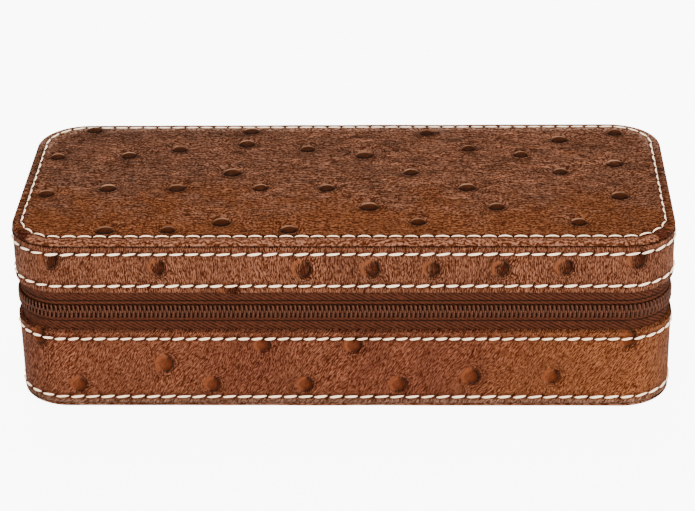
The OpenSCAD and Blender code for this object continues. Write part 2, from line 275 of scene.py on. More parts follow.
def to_mesh(name, bm):
    """A mesh made of a bmesh, which is freed."""
    mesh = bpy.data.meshes.new(name)
    bm.to_mesh(mesh)
    bm.free()
    return mesh


def put(name, data):
    """A new object in the scene."""
    obj = bpy.data.objects.new(name, data)
    bpy.context.scene.collection.objects.link(obj)
    return obj


def add_piece(name, bm, body, node, finish):
    """Makes a piece of a bmesh. It rides on a body and hides the CAD node it stands for.

    A spine piece rides on no body, and threads stand for no node.
    """
    obj = put(name, to_mesh(name, bm))
    obj.data.shade_smooth()
    if body:
        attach(obj, body)
    if node:
        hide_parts(node)
    obj.data.materials.append(material(finish))
    return obj


def stamp(bm, template, matrix):
    """Adds a copy of a mesh to a bmesh, moved by a matrix."""
    start = len(bm.verts)
    bm.from_mesh(template)
    bm.verts.ensure_lookup_table()
    bmesh.ops.transform(bm, matrix=matrix, verts=bm.verts[start:])


def axes_to(x_axis, y_axis, z_axis):
    """A matrix that turns the axes to the given ones."""
    return Matrix((x_axis, y_axis, z_axis)).transposed().to_4x4()


def coords(bm):
    return np.array([v.co for v in bm.verts])


def set_coords(bm, co):
    for vert, place in zip(bm.verts, co):
        vert.co = place


def steps(start, end, step):
    """Evenly spaced values from start to end, about a step apart, with both ends."""
    return np.linspace(start, end, max(2, round(abs(end - start) / step) + 1))


def quarter_arc(centre, r, start, turns=4):
    """Points of a quarter circle in a profile, from an angle in degrees, turning with the clock."""
    angles = np.radians(np.linspace(start, start - 90, turns + 1))
    return [(centre[0] - r * math.cos(a), centre[1] + r * math.sin(a)) for a in angles]


def sweep(bm, profile, s0, s1, step, closed=True):
    """Sweeps a closed profile of (distance in, height) points along the outline, from s0 to s1.

    A grid takes the shape: one way it runs round the case, the other way round the profile. The UV map
    holds the distances both ways, in metres.
    """
    uv = bm.loops.layers.uv.new("UVMap")
    ring = list(profile) + [profile[0]]
    rows = len(ring) - 1
    count = max(1, round((s1 - s0) / step))
    made = bmesh.ops.create_grid(bm, x_segments=count, y_segments=rows, size=1, calc_uvs=True)
    verts = made["verts"]
    grid = np.array([v.co for v in verts])
    column = np.rint((grid[:, 0] + 1) / 2 * count).astype(int)
    row = np.rint((grid[:, 1] + 1) / 2 * rows).astype(int)
    s = s0 + (s1 - s0) * column / count
    depth = np.array([p[0] for p in ring])
    height = np.array([p[1] for p in ring])
    lengths = np.concatenate(([0], np.cumsum(np.hypot(np.diff(depth), np.diff(height)))))
    place, out = outline(s)
    place = place - out * depth[row][:, None]
    for vert, xy, z in zip(verts, place, height[row]):
        vert.co = (xy[0], xy[1], z)
    for face in bm.faces:
        for loop in face.loops:
            u, v = loop[uv].uv
            loop[uv].uv = (s0 + (s1 - s0) * u, lengths[min(rows, round(v * rows))])
    bmesh.ops.remove_doubles(bm, verts=bm.verts, dist=1e-7)
    if not closed:
        ends = [e for e in bm.edges if e.is_boundary]
        bmesh.ops.holes_fill(bm, edges=ends)
    bmesh.ops.recalc_face_normals(bm, faces=bm.faces)


def copy_node(name, source, body, bevel, segments, finish):
    """A new piece from a CAD node: merged, its flat faces joined and its edges softened."""
    bm = bmesh.new()
    bm.from_mesh(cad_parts[source].data)
    bmesh.ops.remove_doubles(bm, verts=bm.verts, dist=1e-6)
    bmesh.ops.dissolve_limit(bm, angle_limit=math.radians(1), verts=bm.verts, edges=bm.edges)
    sharp = [e for e in bm.edges if e.is_manifold and e.calc_face_angle(0) > math.radians(35)]
    bmesh.ops.bevel(bm, geom=sharp, offset=bevel, segments=segments, profile=0.5, affect="EDGES",
                    clamp_overlap=True, material=-1)
    add_piece(name, bm, body, source, finish)


# ---------- quill bumps ----------

# Places of the bumps, in millimetres: (height or distance back, places across)
PANEL_QUILLS = ((48, (-105,)), (46, (-40,)), (44, (32, 109)), (37, (86,)), (33, (-41,)), (28, (-68, -16, 49)),
                (22, (-117, -88, 7, 70)), (14, (107,)), (6, (-45, 26, 85)), (-8, (-93, -66, -33, -7, 48)),
                (-12, (-117,)), (-15, (107,)), (-25, (10, 59)), (-38, (-46, 29, 90)), (-44, (-90, -66, -20)))
LID_QUILLS = ((65, (-111, 111)), (62, (-70, 84)), (61.4, (-15, 11, 34, 60)), (52.4, (-43,)))
BASE_QUILLS = ((31, (-118, 109)), (28.5, (-31, 4)), (20, (-69,)), (14.5, (49, 80)), (11, (-103, -51, -15, 21)))


def hand_placed(rows, flip=1):
    """Places of bumps from rows of (height, places across)."""
    return [(flip * x, height) for height, places in rows for x in places]


# On the sides and the back, bumps stand BUMPS_APART apart along the band, from where the front's end to as far
# on the other side, and keep BUMPS_OFF away from the stitch rows. In millimetres.
BUMPS_FROM, BUMPS_TO = 145, 140
BUMPS_APART = 28
BUMPS_OFF = 3.5


def scattered(low_row, high_row):
    """Made-up places of bumps between two stitch rows, alternately high and low, for the sides and the back."""
    rng = random.Random(sizes().seed)
    total = path_length(0) / MM
    low, high = low_row / MM + BUMPS_OFF, high_row / MM - BUMPS_OFF
    places = []
    x = BUMPS_FROM
    while x < total - BUMPS_TO:
        share = 0.25 if len(places) % 2 else 0.75
        s = x + rng.uniform(-3, 3)
        places.append((s if s < total / 2 else s - total, low + (high - low) * (share + rng.uniform(-0.2, 0.2))))
        x += BUMPS_APART * rng.uniform(0.85, 1.15)
    return places


# Near the back, the relief goes down to BACK_SHARE of its height
BACK_SHARE = 0.32
BACK_FROM, BACK_TO = HALF_Y - 6 * MM, HALF_Y - 2 * MM


def ease_back(y):
    """Share of the relief that stays near the back, where lid and base lie back to back when open."""
    return 1 - (1 - BACK_SHARE) * np.clip((y - BACK_FROM) / (BACK_TO - BACK_FROM), 0, 1)


# The hollow and the lip beside a bump: place and width as shares of its radius, and size as one of its height
MOAT_AT, MOAT_W, MOAT_D = 1.08, 0.16, 0.35
LIP_AT, LIP_W, LIP_H = 1.42, 0.2, 0.22


def emboss(bm, flat, places, radius, height, shade_to):
    """Heights of quill bumps at flat places, given in metres, with the bumps' places in millimetres.

    Two vertex layers keep, for the nearest bump, the distance from its middle as a share of its radius,
    and how far the place lies towards shade_to, the side on which a bump is steep.
    """
    away = np.full(len(flat), 3.0)
    lean = np.zeros(len(flat))
    lift = np.zeros(len(flat))
    side = np.array(shade_to) / np.linalg.norm(shade_to)
    rng = random.Random(sizes().seed + 1)
    for place in places:
        r = radius * rng.uniform(0.88, 1.12)
        apart = flat - np.array(place) * MM
        near = np.flatnonzero((np.abs(apart) < 3 * r).all(axis=1))
        tall = height * rng.uniform(0.85, 1.15)
        here = apart[near]
        length = np.linalg.norm(here, axis=1)
        turn = (here @ side) / np.maximum(length, 1e-9)
        d = length / r
        dome = np.clip(1 - d ** 2, 0, 1) ** 0.7
        moat = bell(d - MOAT_AT, MOAT_W) * np.clip(turn + 0.3, 0, 1)
        lip = bell(d - LIP_AT, LIP_W) * np.clip(turn + 0.1, 0, 1)
        lift[near] += tall * (dome * (1 + 0.3 * turn * np.clip(d, 0, 1)) - MOAT_D * moat + LIP_H * lip)
        nearer = d < away[near]
        away[near] = np.where(nearer, d, away[near])
        lean[near] = np.where(nearer, turn, lean[near])
    for name, values in (("quill", away), ("lean", lean)):
        layer = bm.verts.layers.float.new(name)
        for vert, value in zip(bm.verts, values):
            vert[layer] = float(value)
    return lift


def bell(distance, width):
    """A smooth bump: 1 where the distance is 0, and next to nothing at twice the width."""
    return np.exp(-(distance / width) ** 2)


def swell(co, scale, strength):
    """Slow unevenness of hand-covered leather."""
    return np.array([noise.noise(Vector(p) * scale) for p in co]) * strength


# ---------- leather ----------

# Radii of a band's edges, and height of the bottom leather above the ground
SEAM_R, RIM_R = 0.25 * MM, 0.6 * MM
STAND = 0.75 * MM
# Width and depth of a stitch row's groove, and how wide its thread presses the bumps flat
GROOVE_W, GROOVE_D = 0.95 * MM, 0.34 * MM
PRESSED_W = 1.5 * MM
# Leather that puffs up beside a row: height, and places and widths at a band's rim, at its seam and on a panel
PUFF = 0.22 * MM
RIM_PUFF_SHARE, RIM_PUFF_W = 0.42, 1.1 * MM
SEAM_PUFF_IN, SEAM_PUFF_W = 1.3 * MM, 1.0 * MM
PANEL_PUFF_IN, PANEL_PUFF_W = 1.6 * MM, 1.1 * MM
# The way that a bump's steep side faces on the flat leather
BAND_STEEP, PANEL_STEEP = (1.0, -0.3), (0.15, -1.0)
# Scale and strength of the slow unevenness
BAND_SWELL, PANEL_SWELL = (45, 0.16 * MM), (40, 0.22 * MM)


def row_relief(distance, pitch, s):
    """Relief beside a stitch row: the groove that the thread pulls, with a dimple at each needle hole."""
    hole = np.cos(math.pi * s / pitch) ** 2
    return -GROOVE_D * bell(distance, GROOVE_W) * (0.55 + 0.45 * hole ** 3)


def beside_row(distance):
    """Share of a bump's height that stays: the thread presses bumps flat under its row."""
    return 1 - 0.9 * bell(distance, PRESSED_W)


def fit_pitch(pitch, inset):
    """The spacing next to pitch that divides the closed path evenly."""
    total = path_length(inset)
    return total / round(total / pitch)


def band_rows(part):
    """Height and stitch spacing of the upper and the lower row on the lid's or the base's band."""
    st = stitches()
    if part == "lid":
        rows = (TOP_Z - st.outer_in, st.outer_pitch), (LID_RIM + st.rim_in, st.lid_rim_pitch)
    else:
        rows = (BASE_RIM - st.rim_in, st.base_rim_pitch), (st.outer_in, st.outer_pitch)
    return [(z, fit_pitch(pitch, 0)) for z, pitch in rows]


def make_band(part, seam, rim, quills):
    """A side band: a closed strip of leather with rounded edges, bumps and stitch grooves."""
    k = sizes()
    rows = band_rows(part)
    up = 1 if rim > seam else -1
    t = k.leather_t
    low, high = min(seam, rim), max(seam, rim)
    low_r, high_r = (SEAM_R, RIM_R) if up > 0 else (RIM_R, SEAM_R)
    profile = [(0, z) for z in steps(low + low_r, high - high_r, k.fineness)]
    profile += quarter_arc((high_r, high - high_r), high_r, 0)[1:]
    profile += [(t, high), (t, (high + low) / 2), (t, low)]
    profile += quarter_arc((low_r, low + low_r), low_r, -90)[:-1]
    bm = bmesh.new()
    sweep(bm, profile, -path_length(0) / 2, path_length(0) / 2, k.fineness)
    co = coords(bm)
    depth, out, _ = from_core(co[:, :2])
    s = along(co[:, :2], 0)
    total = path_length(0)
    s = np.where(s > total / 2, s - total, s)
    skin = np.clip(1 - depth / (0.7 * t), 0, 1)
    places = hand_placed(quills) + scattered(rows[1][0], rows[0][0])
    lift = emboss(bm, np.stack((s, co[:, 2]), axis=-1), places, k.quill_r, k.quill_h, BAND_STEEP)
    lift *= ease_back(co[:, 1])
    for z, _ in rows:
        lift *= beside_row(co[:, 2] - z)
    for z, pitch in rows:
        lift += row_relief(co[:, 2] - z, pitch, s)
    rim_puff = bell(co[:, 2] - (rim - up * stitches().rim_in * RIM_PUFF_SHARE), RIM_PUFF_W)
    seam_puff = bell(co[:, 2] - (seam + up * SEAM_PUFF_IN), SEAM_PUFF_W)
    lift += PUFF * (rim_puff + seam_puff) + swell(co, *BAND_SWELL)
    co[:, :2] += out * (lift * skin)[:, None]
    set_coords(bm, co)
    add_piece(f"{part}_side_band", bm, part, f"{part}_side_leather", f"{part}_band_leather")


def square_to_outline(grid, inset):
    """Bends a square grid onto the rounded rectangle that lies inset from the outline."""
    cx, cy = core()
    r = sizes().corner_r - inset
    x = grid[:, 0] * (cx + r)
    y = grid[:, 1] * (cy + r)
    a = np.clip((np.abs(x) - cx) / r, 0, 1)
    b = np.clip((np.abs(y) - cy) / r, 0, 1)
    in_corner = (a > 0) & (b > 0)
    px = np.where(in_corner, np.sign(x) * (cx + r * a * np.sqrt(1 - b * b / 2)), x)
    py = np.where(in_corner, np.sign(y) * (cy + r * b * np.sqrt(1 - a * a / 2)), y)
    return np.stack((px, py), axis=-1)


def slab(bm, face_z, border, step):
    """A closed plate whose face follows the outline, with a border given as (distance in, height)."""
    inset = border[0][0]
    cx, cy = core()
    r = sizes().corner_r
    made = bmesh.ops.create_grid(bm, x_segments=round(2 * (cx + r) / step), y_segments=round(2 * (cy + r) / step),
                                 size=1)
    flat = square_to_outline(np.array([v.co for v in made["verts"]]), inset)
    for vert, xy in zip(made["verts"], flat):
        vert.co = (xy[0], xy[1], face_z)
    edges = [e for e in bm.edges if e.is_boundary]
    for depth, z in border[1:]:
        grown = bmesh.ops.extrude_edge_only(bm, edges=edges)["geom"]
        ring = [g for g in grown if isinstance(g, bmesh.types.BMVert)]
        _, out, nearest = from_core(np.array([v.co[:2] for v in ring]))
        for vert, place in zip(ring, nearest + out * (r - depth)):
            vert.co = (place[0], place[1], z)
        edges = [g for g in grown if isinstance(g, bmesh.types.BMEdge)]
    bmesh.ops.contextual_create(bm, geom=edges)
    bmesh.ops.recalc_face_normals(bm, faces=bm.faces)


def rolled_border(outer, face_z, roll, up, turns=6):
    """Border points that roll over from a plate's face to its edge, outer from the case's outer face."""
    points = quarter_arc((outer + roll, face_z - up * roll), roll, 90, turns)
    return [(d, z if up > 0 else 2 * (face_z + roll) - z) for d, z in points]


def inside_depth(xy):
    """Distance in from the outer face, also in the middle of the plan."""
    depth, _, _ = from_core(xy)
    cx, cy = core()
    return np.minimum(depth, sizes().corner_r + np.minimum(cx - np.abs(xy[:, 0]), cy - np.abs(xy[:, 1])))


def make_panel(name, body, node, face_z, up, quills):
    """The padded top panel, or the bottom one when up is -1, with a rolled border.

    The bottom panel stands on its bumps, which the case's weight has pressed flat: its leather lies STAND
    above the ground.
    """
    k = sizes()
    st = stitches()
    edge_z = face_z - up * PANEL_EDGE
    roll = PANEL_EDGE * 0.7
    cut_in, cut_up, under = 0.15 * MM, 0.2 * MM, 0.6 * MM
    border = rolled_border(0, face_z, roll, up)
    border += [(0.0, edge_z + up * cut_up), (cut_in, edge_z), (k.leather_t, edge_z),
               (k.leather_t, edge_z + up * under)]
    bm = bmesh.new()
    slab(bm, face_z, border, k.fineness)
    co = coords(bm)
    inside = inside_depth(co[:, :2])
    s = along(co[:, :2], st.panel_in)
    pitch = fit_pitch(st.panel_pitch, st.panel_in)
    skin = np.clip(1 - np.abs(co[:, 2] - face_z) / (PANEL_EDGE * 0.75), 0, 1)
    near_x = 1 - (co[:, 0] / HALF_X) ** 2
    near_y = 1 - (co[:, 1] / HALF_Y) ** 2
    crown = k.crown * np.clip(near_x * near_y * 2.2, 0, 1)
    lift = emboss(bm, co[:, :2], quills, k.panel_quill_r, k.panel_quill_h, PANEL_STEEP)
    lift *= beside_row(inside - st.panel_in)
    lift += row_relief(inside - st.panel_in, pitch, s)
    lift += PUFF * bell(inside - st.panel_in - PANEL_PUFF_IN, PANEL_PUFF_W)
    lift += swell(co, *PANEL_SWELL)
    lift = lift + crown if up > 0 else np.minimum(lift - STAND, 0)
    co[:, 2] += up * lift * skin
    set_coords(bm, co)
    add_border_uv(bm, co, st.panel_in)
    add_piece(name, bm, body, node, "panel_leather")


def add_border_uv(bm, co, inset):
    """UV map of a panel: distance along its stitch row, and distance in from the outer face."""
    uv = bm.loops.layers.uv.new("UVMap")
    depth, _, _ = from_core(co[:, :2])
    s = along(co[:, :2], inset)
    total = path_length(inset)
    bm.verts.index_update()
    for face in bm.faces:
        us = [s[loop.vert.index] for loop in face.loops]
        wraps = max(us) - min(us) > total / 2
        for loop, u in zip(face.loops, us):
            loop[uv].uv = (u + total if wraps and u < total / 2 else u, depth[loop.vert.index])


# ---------- stitching ----------

def thread_template(length, width, height, arch, bow):
    """One stitch along X on the plane z = 0: a soft cord whose ends dip into the needle holes."""
    bm = bmesh.new()
    bm.loops.layers.uv.new("UVMap")
    bmesh.ops.create_uvsphere(bm, u_segments=8, v_segments=6, radius=1, calc_uvs=True,
                              matrix=Matrix.Rotation(math.pi / 2, 4, "Y"))
    # Fuller than a ball, and thin only near its ends
    for vert in bm.verts:
        t = max(-1.0, min(1.0, vert.co.x))
        round_now = math.sqrt(max(1 - t * t, 1e-9))
        full = (1 - abs(t) ** 4) ** 0.7 * (0.7 + 0.3 * (1 - t * t))
        spread = full / round_now if round_now > 1e-3 else 0.0
        vert.co = Vector((t * length / 2,
                          vert.co.y * spread * width / 2 + bow * (1 - t * t),
                          vert.co.z * spread * height / 2 + arch * (1 - t ** 4) - arch * 0.35))
    bmesh.ops.recalc_face_normals(bm, faces=bm.faces)
    return to_mesh("stitch", bm)


def sew(name, body, pitch, inset, place_of, lean, bow, arch, width=1.0):
    """A closed row of stitches. place_of turns (place, outward) into a spot and the face's normal."""
    st = stitches()
    count = round(path_length(inset) / pitch)
    rng = random.Random(sizes().seed + len(name))
    template = thread_template(pitch * st.fill, st.thread_w * width, st.thread_h * width, arch, bow)
    s = (np.arange(count) + 0.5) * pitch
    places, outs = outline(s, inset)
    bm = bmesh.new()
    bm.loops.layers.uv.new("UVMap")
    # By hand, no two stitches are alike
    for place, out in zip(places, outs):
        spot, normal = place_of(Vector(place), Vector(out))
        tangent = Matrix.Rotation(lean + rng.uniform(-0.045, 0.045), 3, normal) @ Vector((-out[1], out[0], 0))
        stretch = Matrix.Diagonal((rng.uniform(0.93, 1.04), rng.uniform(0.84, 1.12), 1, 1))
        stamp(bm, template, Matrix.Translation(spot) @ axes_to(tangent, normal.cross(tangent), normal) @ stretch)
    bpy.data.meshes.remove(template)
    add_piece(name, bm, body, None, "waxed_thread")


# A stitch stands PROUD of the leather, and SUNK deeper at the back
PROUD = 0.1 * MM
SUNK = 0.28 * MM


def on_band(z):
    """Places a stitch on a side band at a height."""
    def spot(place, out):
        normal = Vector((out.x, out.y, 0))
        return Vector((place.x, place.y, z)) + normal * (PROUD - SUNK * max(0.0, out.y) ** 2), normal
    return spot


def on_panel(z, up):
    """Places a stitch on the top panel, or on the bottom one when up is -1."""
    def spot(place, out):
        normal = Vector((0, 0, up))
        return Vector((place.x, place.y, z)) + normal * PROUD, normal
    return spot


# ---------- zip ----------

# The tapes: distance from the coil, height and width of the woven cord, thickness, and mesh steps
CORD_IN, CORD_UP, CORD_W = 0.55 * MM, 0.32 * MM, 0.38 * MM
TAPE_T = 0.7 * MM
TAPE_STEP_UP, TAPE_STEP_ALONG = 0.45 * MM, 1.2 * MM


def tape_profile(rim, inner):
    """Closed profile of one tape, with the woven cord beside the coil. inner is its edge at the slit."""
    up = 1 if rim > inner else -1
    cord = MID_Z + up * (zip_sizes().chain_w / 2 + CORD_IN)
    face = [(TAPE_OUT - CORD_UP * bell(z - cord, CORD_W), z) for z in steps(inner, rim, TAPE_STEP_UP)]
    return face + [(TAPE_OUT + TAPE_T, z) for z in (rim, (rim + inner) / 2, inner)]


def make_tape(part, rim, inner):
    bm = bmesh.new()
    half = path_length(0) / 2 - SPINE_HALF
    sweep(bm, tape_profile(rim, inner), -half, half, TAPE_STEP_ALONG, closed=False)
    add_piece(f"{part}_tape", bm, part, f"{part}_zip_tape", "twill_tape")


# Radius of the ring that a turn is shaped from, before it gets its size
RING = 4
# How far a turn leans along the zip, between its front and its back and between its head and its foot
LEAN_OUT, LEAN_ACROSS = 0.2 * MM, 0.13 * MM


def turn_template():
    """One turn of a coil: a loop of nylon wire, standing on the tape.

    X is along the zip, Y is across it, away from the middle, and Z is out from the tape.
    """
    k = zip_sizes()
    bm = bmesh.new()
    reach = (k.chain_w / 2 + k.mesh) / 2 - k.wire_r
    rise = k.coil_t / 2 - k.wire_r
    made = bmesh.ops.create_circle(bm, segments=5, radius=1, cap_ends=False,
                                   matrix=Matrix.Translation((0, RING, 0)))
    edges = list({e for v in made["verts"] for e in v.link_edges})
    bmesh.ops.spin(bm, geom=made["verts"] + edges, cent=(0, 0, 0), axis=(1, 0, 0), dvec=(0, 0, 0),
                   angle=2 * math.pi, steps=9, use_merge=True)
    bmesh.ops.remove_doubles(bm, verts=bm.verts, dist=1e-4)
    for vert in bm.verts:
        x, y, z = vert.co
        angle = math.atan2(z, y)
        wall = math.hypot(y, z) - RING
        head = max(0.0, -math.cos(angle)) ** 3
        width = k.wire_r * (0.92 + 0.4 * head)
        across = math.copysign(abs(math.cos(angle)) ** 0.6, math.cos(angle)) * reach
        out = math.copysign(abs(math.sin(angle)) ** 0.75, math.sin(angle)) * rise
        slant = LEAN_OUT * math.sin(angle) - LEAN_ACROSS * math.cos(angle)
        vert.co = Vector((x * width + slant,
                          across + wall * k.wire_r * math.cos(angle),
                          out + wall * k.wire_r * math.sin(angle)))
    bmesh.ops.recalc_face_normals(bm, faces=bm.faces)
    return to_mesh("turn", bm)


def make_coil(part, up):
    """One coil, wound round the front and both sides to where the CAD coil ends."""
    k = zip_sizes()
    cx, cy = core()
    r = sizes().corner_r
    template = turn_template()
    inset = TAPE_OUT - k.coil_t / 2
    arc = (r - inset) * math.pi / 2
    to_right = cx + arc + cy + (SLIDER_LOW[1] + SLIDER_HIGH[1]) / 2
    to_left = cx + arc + cy + span("zip_bottom_stop", 1)[0]
    shift = 0.5 if up > 0 else 0.0
    turns = np.arange(math.ceil(-to_left / k.pitch), math.floor(to_right / k.pitch)) + shift
    s = turns * k.pitch
    places, outs = outline(s, inset)
    middle = MID_Z + up * (k.chain_w / 2 - k.mesh) / 2
    bm = bmesh.new()
    for place, out in zip(places, outs):
        turned = axes_to((-out[1], out[0], 0), (0, 0, up), (out[0], out[1], 0))
        stamp(bm, template, Matrix.Translation((place[0], place[1], middle)) @ turned)
    bmesh.ops.recalc_face_normals(bm, faces=bm.faces)
    bpy.data.meshes.remove(template)
    add_piece(f"{part}_coil", bm, part, f"{part}_zip_coil", "nylon_coil")


# ---------- shader helpers ----------

class Nodes:
    """Adds nodes to a tree. An input is a value or the socket that feeds it."""

    def __init__(self, tree):
        self.tree = tree

    def fill(self, node, inputs):
        for key, value in inputs.items():
            if isinstance(value, bpy.types.NodeSocket):
                self.tree.links.new(value, node.inputs[key])
            else:
                node.inputs[key].default_value = value

    def add(self, kind, inputs, **settings):
        node = self.tree.nodes.new(kind)
        for key, value in settings.items():
            setattr(node, key, value)
        self.fill(node, inputs)
        return node

    def group(self, tree, inputs):
        return self.add("ShaderNodeGroup", inputs, node_tree=tree).outputs

    def math(self, operation, a, b=0.0, clamp=False):
        return self.add("ShaderNodeMath", {0: a, 1: b}, operation=operation, use_clamp=clamp).outputs[0]

    def times(self, a, b, *more):
        return self.math("MULTIPLY", a, self.times(b, *more) if more else b)

    def plus(self, a, b, clamp=False):
        return self.math("ADD", a, b, clamp)

    def minus(self, a, b):
        return self.math("SUBTRACT", a, b)

    def apart(self, a, b):
        """How far two values lie apart."""
        return self.math("ABSOLUTE", self.minus(a, b))

    def zigzag(self, value):
        """A line that runs from 0 up to 0.5 and back, once for each whole number."""
        return self.math("PINGPONG", value, 0.5)

    def vector(self, operation, a, b, output="Vector"):
        return self.add("ShaderNodeVectorMath", {0: a, 1: b}, operation=operation).outputs[output]

    def xyz(self, place):
        return self.add("ShaderNodeSeparateXYZ", {0: place}).outputs

    def mix(self, factor, a, b, blend="MIX"):
        return self.add("ShaderNodeMix", {0: factor, 6: rgba(a), 7: rgba(b)}, data_type="RGBA",
                        blend_type=blend).outputs[2]

    def cover(self, colour, over, *shares):
        """Covers a colour with another, by the product of the shares."""
        return self.mix(self.times(*shares), colour, over)

    def noise(self, vector, scale, detail=3.0, roughness=0.55, distortion=0.0):
        return self.add("ShaderNodeTexNoise", {"Vector": vector, "Scale": scale, "Detail": detail,
                                               "Roughness": roughness, "Distortion": distortion}).outputs["Fac"]

    def remap(self, value, low, high, to_low=0.0, to_high=1.0, kind="SMOOTHSTEP"):
        return self.add("ShaderNodeMapRange", {"Value": value, "From Min": low, "From Max": high, "To Min": to_low,
                                               "To Max": to_high}, interpolation_type=kind).outputs["Result"]

    def mapped(self, vector, **how):
        """Coordinates that are stretched or turned."""
        return self.add("ShaderNodeMapping", {"Vector": vector, **how}).outputs[0]

    def bump(self, height, strength, distance):
        return self.add("ShaderNodeBump", {"Height": height, "Strength": strength, "Distance": distance}).outputs[0]

    def attribute(self, name):
        return self.add("ShaderNodeAttribute", {}, attribute_name=name).outputs["Fac"]


class Finish(Nodes):
    """A material in the making, with the coordinates that its textures follow."""

    def __init__(self, name):
        self.made = bpy.data.materials.new(name)
        self.made.use_nodes = True
        super().__init__(self.made.node_tree)
        self.shader = self.tree.nodes["Principled BSDF"]
        self.places = self.add("ShaderNodeTexCoord", {}).outputs
        self.at = self.places["Object"]
        self.uv = self.places["UV"]

    def done(self, inputs):
        """Feeds the shader and gives the material back."""
        self.fill(self.shader, inputs)
        return self.made


def rgba(value):
    """A colour with its alpha, or the socket as it is."""
    if isinstance(value, bpy.types.NodeSocket) or len(value) == 4:
        return value
    return (*value, 1.0)


def shade(tone, light):
    """A colour made lighter or darker."""
    return tuple(min(1.0, v * light) for v in tone)


def effect(name, inputs, build):
    """A node group, made once. inputs gives each socket's default, or None for coordinates.

    build gets the helper and the input sockets by name, and returns the outputs, which are plain numbers.
    """
    if name in bpy.data.node_groups:
        return bpy.data.node_groups[name]
    tree = bpy.data.node_groups.new(name, "ShaderNodeTree")
    for label, default in inputs.items():
        kind = "NodeSocketFloat" if isinstance(default, float) else "NodeSocketVector"
        socket = tree.interface.new_socket(label, in_out="INPUT", socket_type=kind)
        if default is not None:
            socket.default_value = default
    n = Nodes(tree)
    results = build(n, n.add("NodeGroupInput", {}).outputs)
    for label in results:
        tree.interface.new_socket(label, in_out="OUTPUT", socket_type="NodeSocketFloat")
    n.add("NodeGroupOutput", results)
    return tree


def hide_grain():
    """Fine wrinkles that run one way and wander: the grain of waxed hide, highest on its crests."""
    def build(n, given):
        place = given["Vector"]
        drift = n.add("ShaderNodeTexNoise", {"Vector": place, "Scale": 28.0, "Detail": 1.0}).outputs["Color"]
        bent = n.vector("MULTIPLY", n.vector("SUBTRACT", drift, (0.5, 0.5, 0.5)), given["Wander"])
        strokes = n.vector("MULTIPLY", n.vector("ADD", place, bent), given["Stretch"])
        coarse = n.noise(strokes, 0.8, 3.0, 0.6, 0.5)
        fine = n.noise(strokes, 2.0, 2.0, 0.6, 0.4)
        fray = n.add("ShaderNodeTexNoise", {"Vector": strokes, "Scale": 1.3, "Detail": 1.0}).outputs["Color"]
        creases = n.add("ShaderNodeTexVoronoi", {"Vector": n.vector("ADD", strokes, fray), "Scale": 1.0,
                                                 "Randomness": 1.0}, feature="DISTANCE_TO_EDGE")
        pebble = n.remap(creases.outputs["Distance"], 0.0, 0.28, kind="LINEAR")
        noisy = n.remap(n.plus(n.times(coarse, 0.5), n.times(fine, 0.5)), 0.35, 0.65, kind="LINEAR")
        across = n.vector("DOT_PRODUCT", strokes, given["Across"], "Value")
        phase = n.plus(n.plus(across, n.times(n.noise(strokes, 0.5, 2.0, 0.5), 3.2)), given["Bend"])
        lines = n.times(n.zigzag(phase), 2.0)
        return {"Crest": n.plus(n.plus(n.times(pebble, 0.3), n.times(noisy, 0.35)), n.times(lines, 0.35))}
    return effect("hide_grain", {"Vector": None, "Stretch": (1, 1, 1), "Across": (1, 0, 0), "Wander": 0.004,
                                 "Bend": 0.0}, build)


def needle_holes():
    """Dark slanted holes between the stitches of a row, from the distances along and across it."""
    def build(n, given):
        slanted = n.minus(given["Along"], n.times(given["Across"], given["Slant"]))
        turns = n.math("DIVIDE", slanted, given["Spacing"])
        off = n.times(n.apart(n.math("FRACT", n.plus(turns, 0.5)), 0.5), given["Spacing"])
        beside = n.math("ABSOLUTE", given["Across"])
        return {"Hole": n.times(n.remap(off, 0.4 * MM, 0.1 * MM), n.remap(beside, 1.5 * MM, 0.7 * MM)),
                "Row": n.remap(beside, 2.2 * MM, 0.6 * MM)}
    return effect("needle_holes", {"Along": 0.0, "Across": 0.0, "Spacing": 6 * MM, "Slant": 0.6}, build)


def quill_marks():
    """Masks of a quill bump: its dome, the crease on its steep side and the rim on its lit side, which take painted
    shade and a painted highlight, and folds that ring it.
    """
    def build(n, given):
        away, lean = given["Away"], given["Lean"]
        facing = n.remap(lean, -0.3, 0.45)
        wave = n.math("SINE", n.times(n.minus(away, 1.0), 17.0))
        reach = n.times(n.remap(away, 2.3, 1.4), n.remap(away, 1.0, 1.15))
        return {"Dome": n.remap(away, 1.02, 0.78),
                "Crease": n.times(n.remap(n.apart(away, 1.02), 0.24, 0.07), facing),
                "Folds": n.times(n.remap(wave, 0.0, -0.9), reach, facing),
                "Rim": n.times(n.remap(n.apart(away, 0.98), 0.34, 0.1), n.remap(lean, 0.1, -0.6))}
    return effect("quill_marks", {"Away": 3.0, "Lean": 0.0}, build)


def clouds():
    """Slow light and dark patches, as hand-rubbed dye leaves them."""
    def build(n, given):
        broad = n.noise(given["Vector"], given["Size"], 3.0, 0.55, 0.4)
        mid = n.noise(given["Vector"], n.times(given["Size"], 4.5), 3.0, 0.6, 0.2)
        return {"Broad": n.remap(broad, 0.36, 0.64), "Mottle": n.remap(mid, 0.35, 0.65)}
    return effect("clouds", {"Vector": None, "Size": 20.0}, build)


def row_marks(n, rows, start, slant):
    """Hole and row masks of stitch rows, each given as (place across, spacing)."""
    run, depth, _ = n.xyz(n.uv)
    hole, row = 0.0, 0.0
    for across, spacing in rows:
        marks = n.group(needle_holes(), {"Along": run, "Across": n.minus(depth, across - start),
                                         "Spacing": spacing, "Slant": slant})
        hole = n.math("MAXIMUM", hole, marks["Hole"])
        row = n.math("MAXIMUM", row, marks["Row"])
    return hole, row


# ---------- finishes ----------

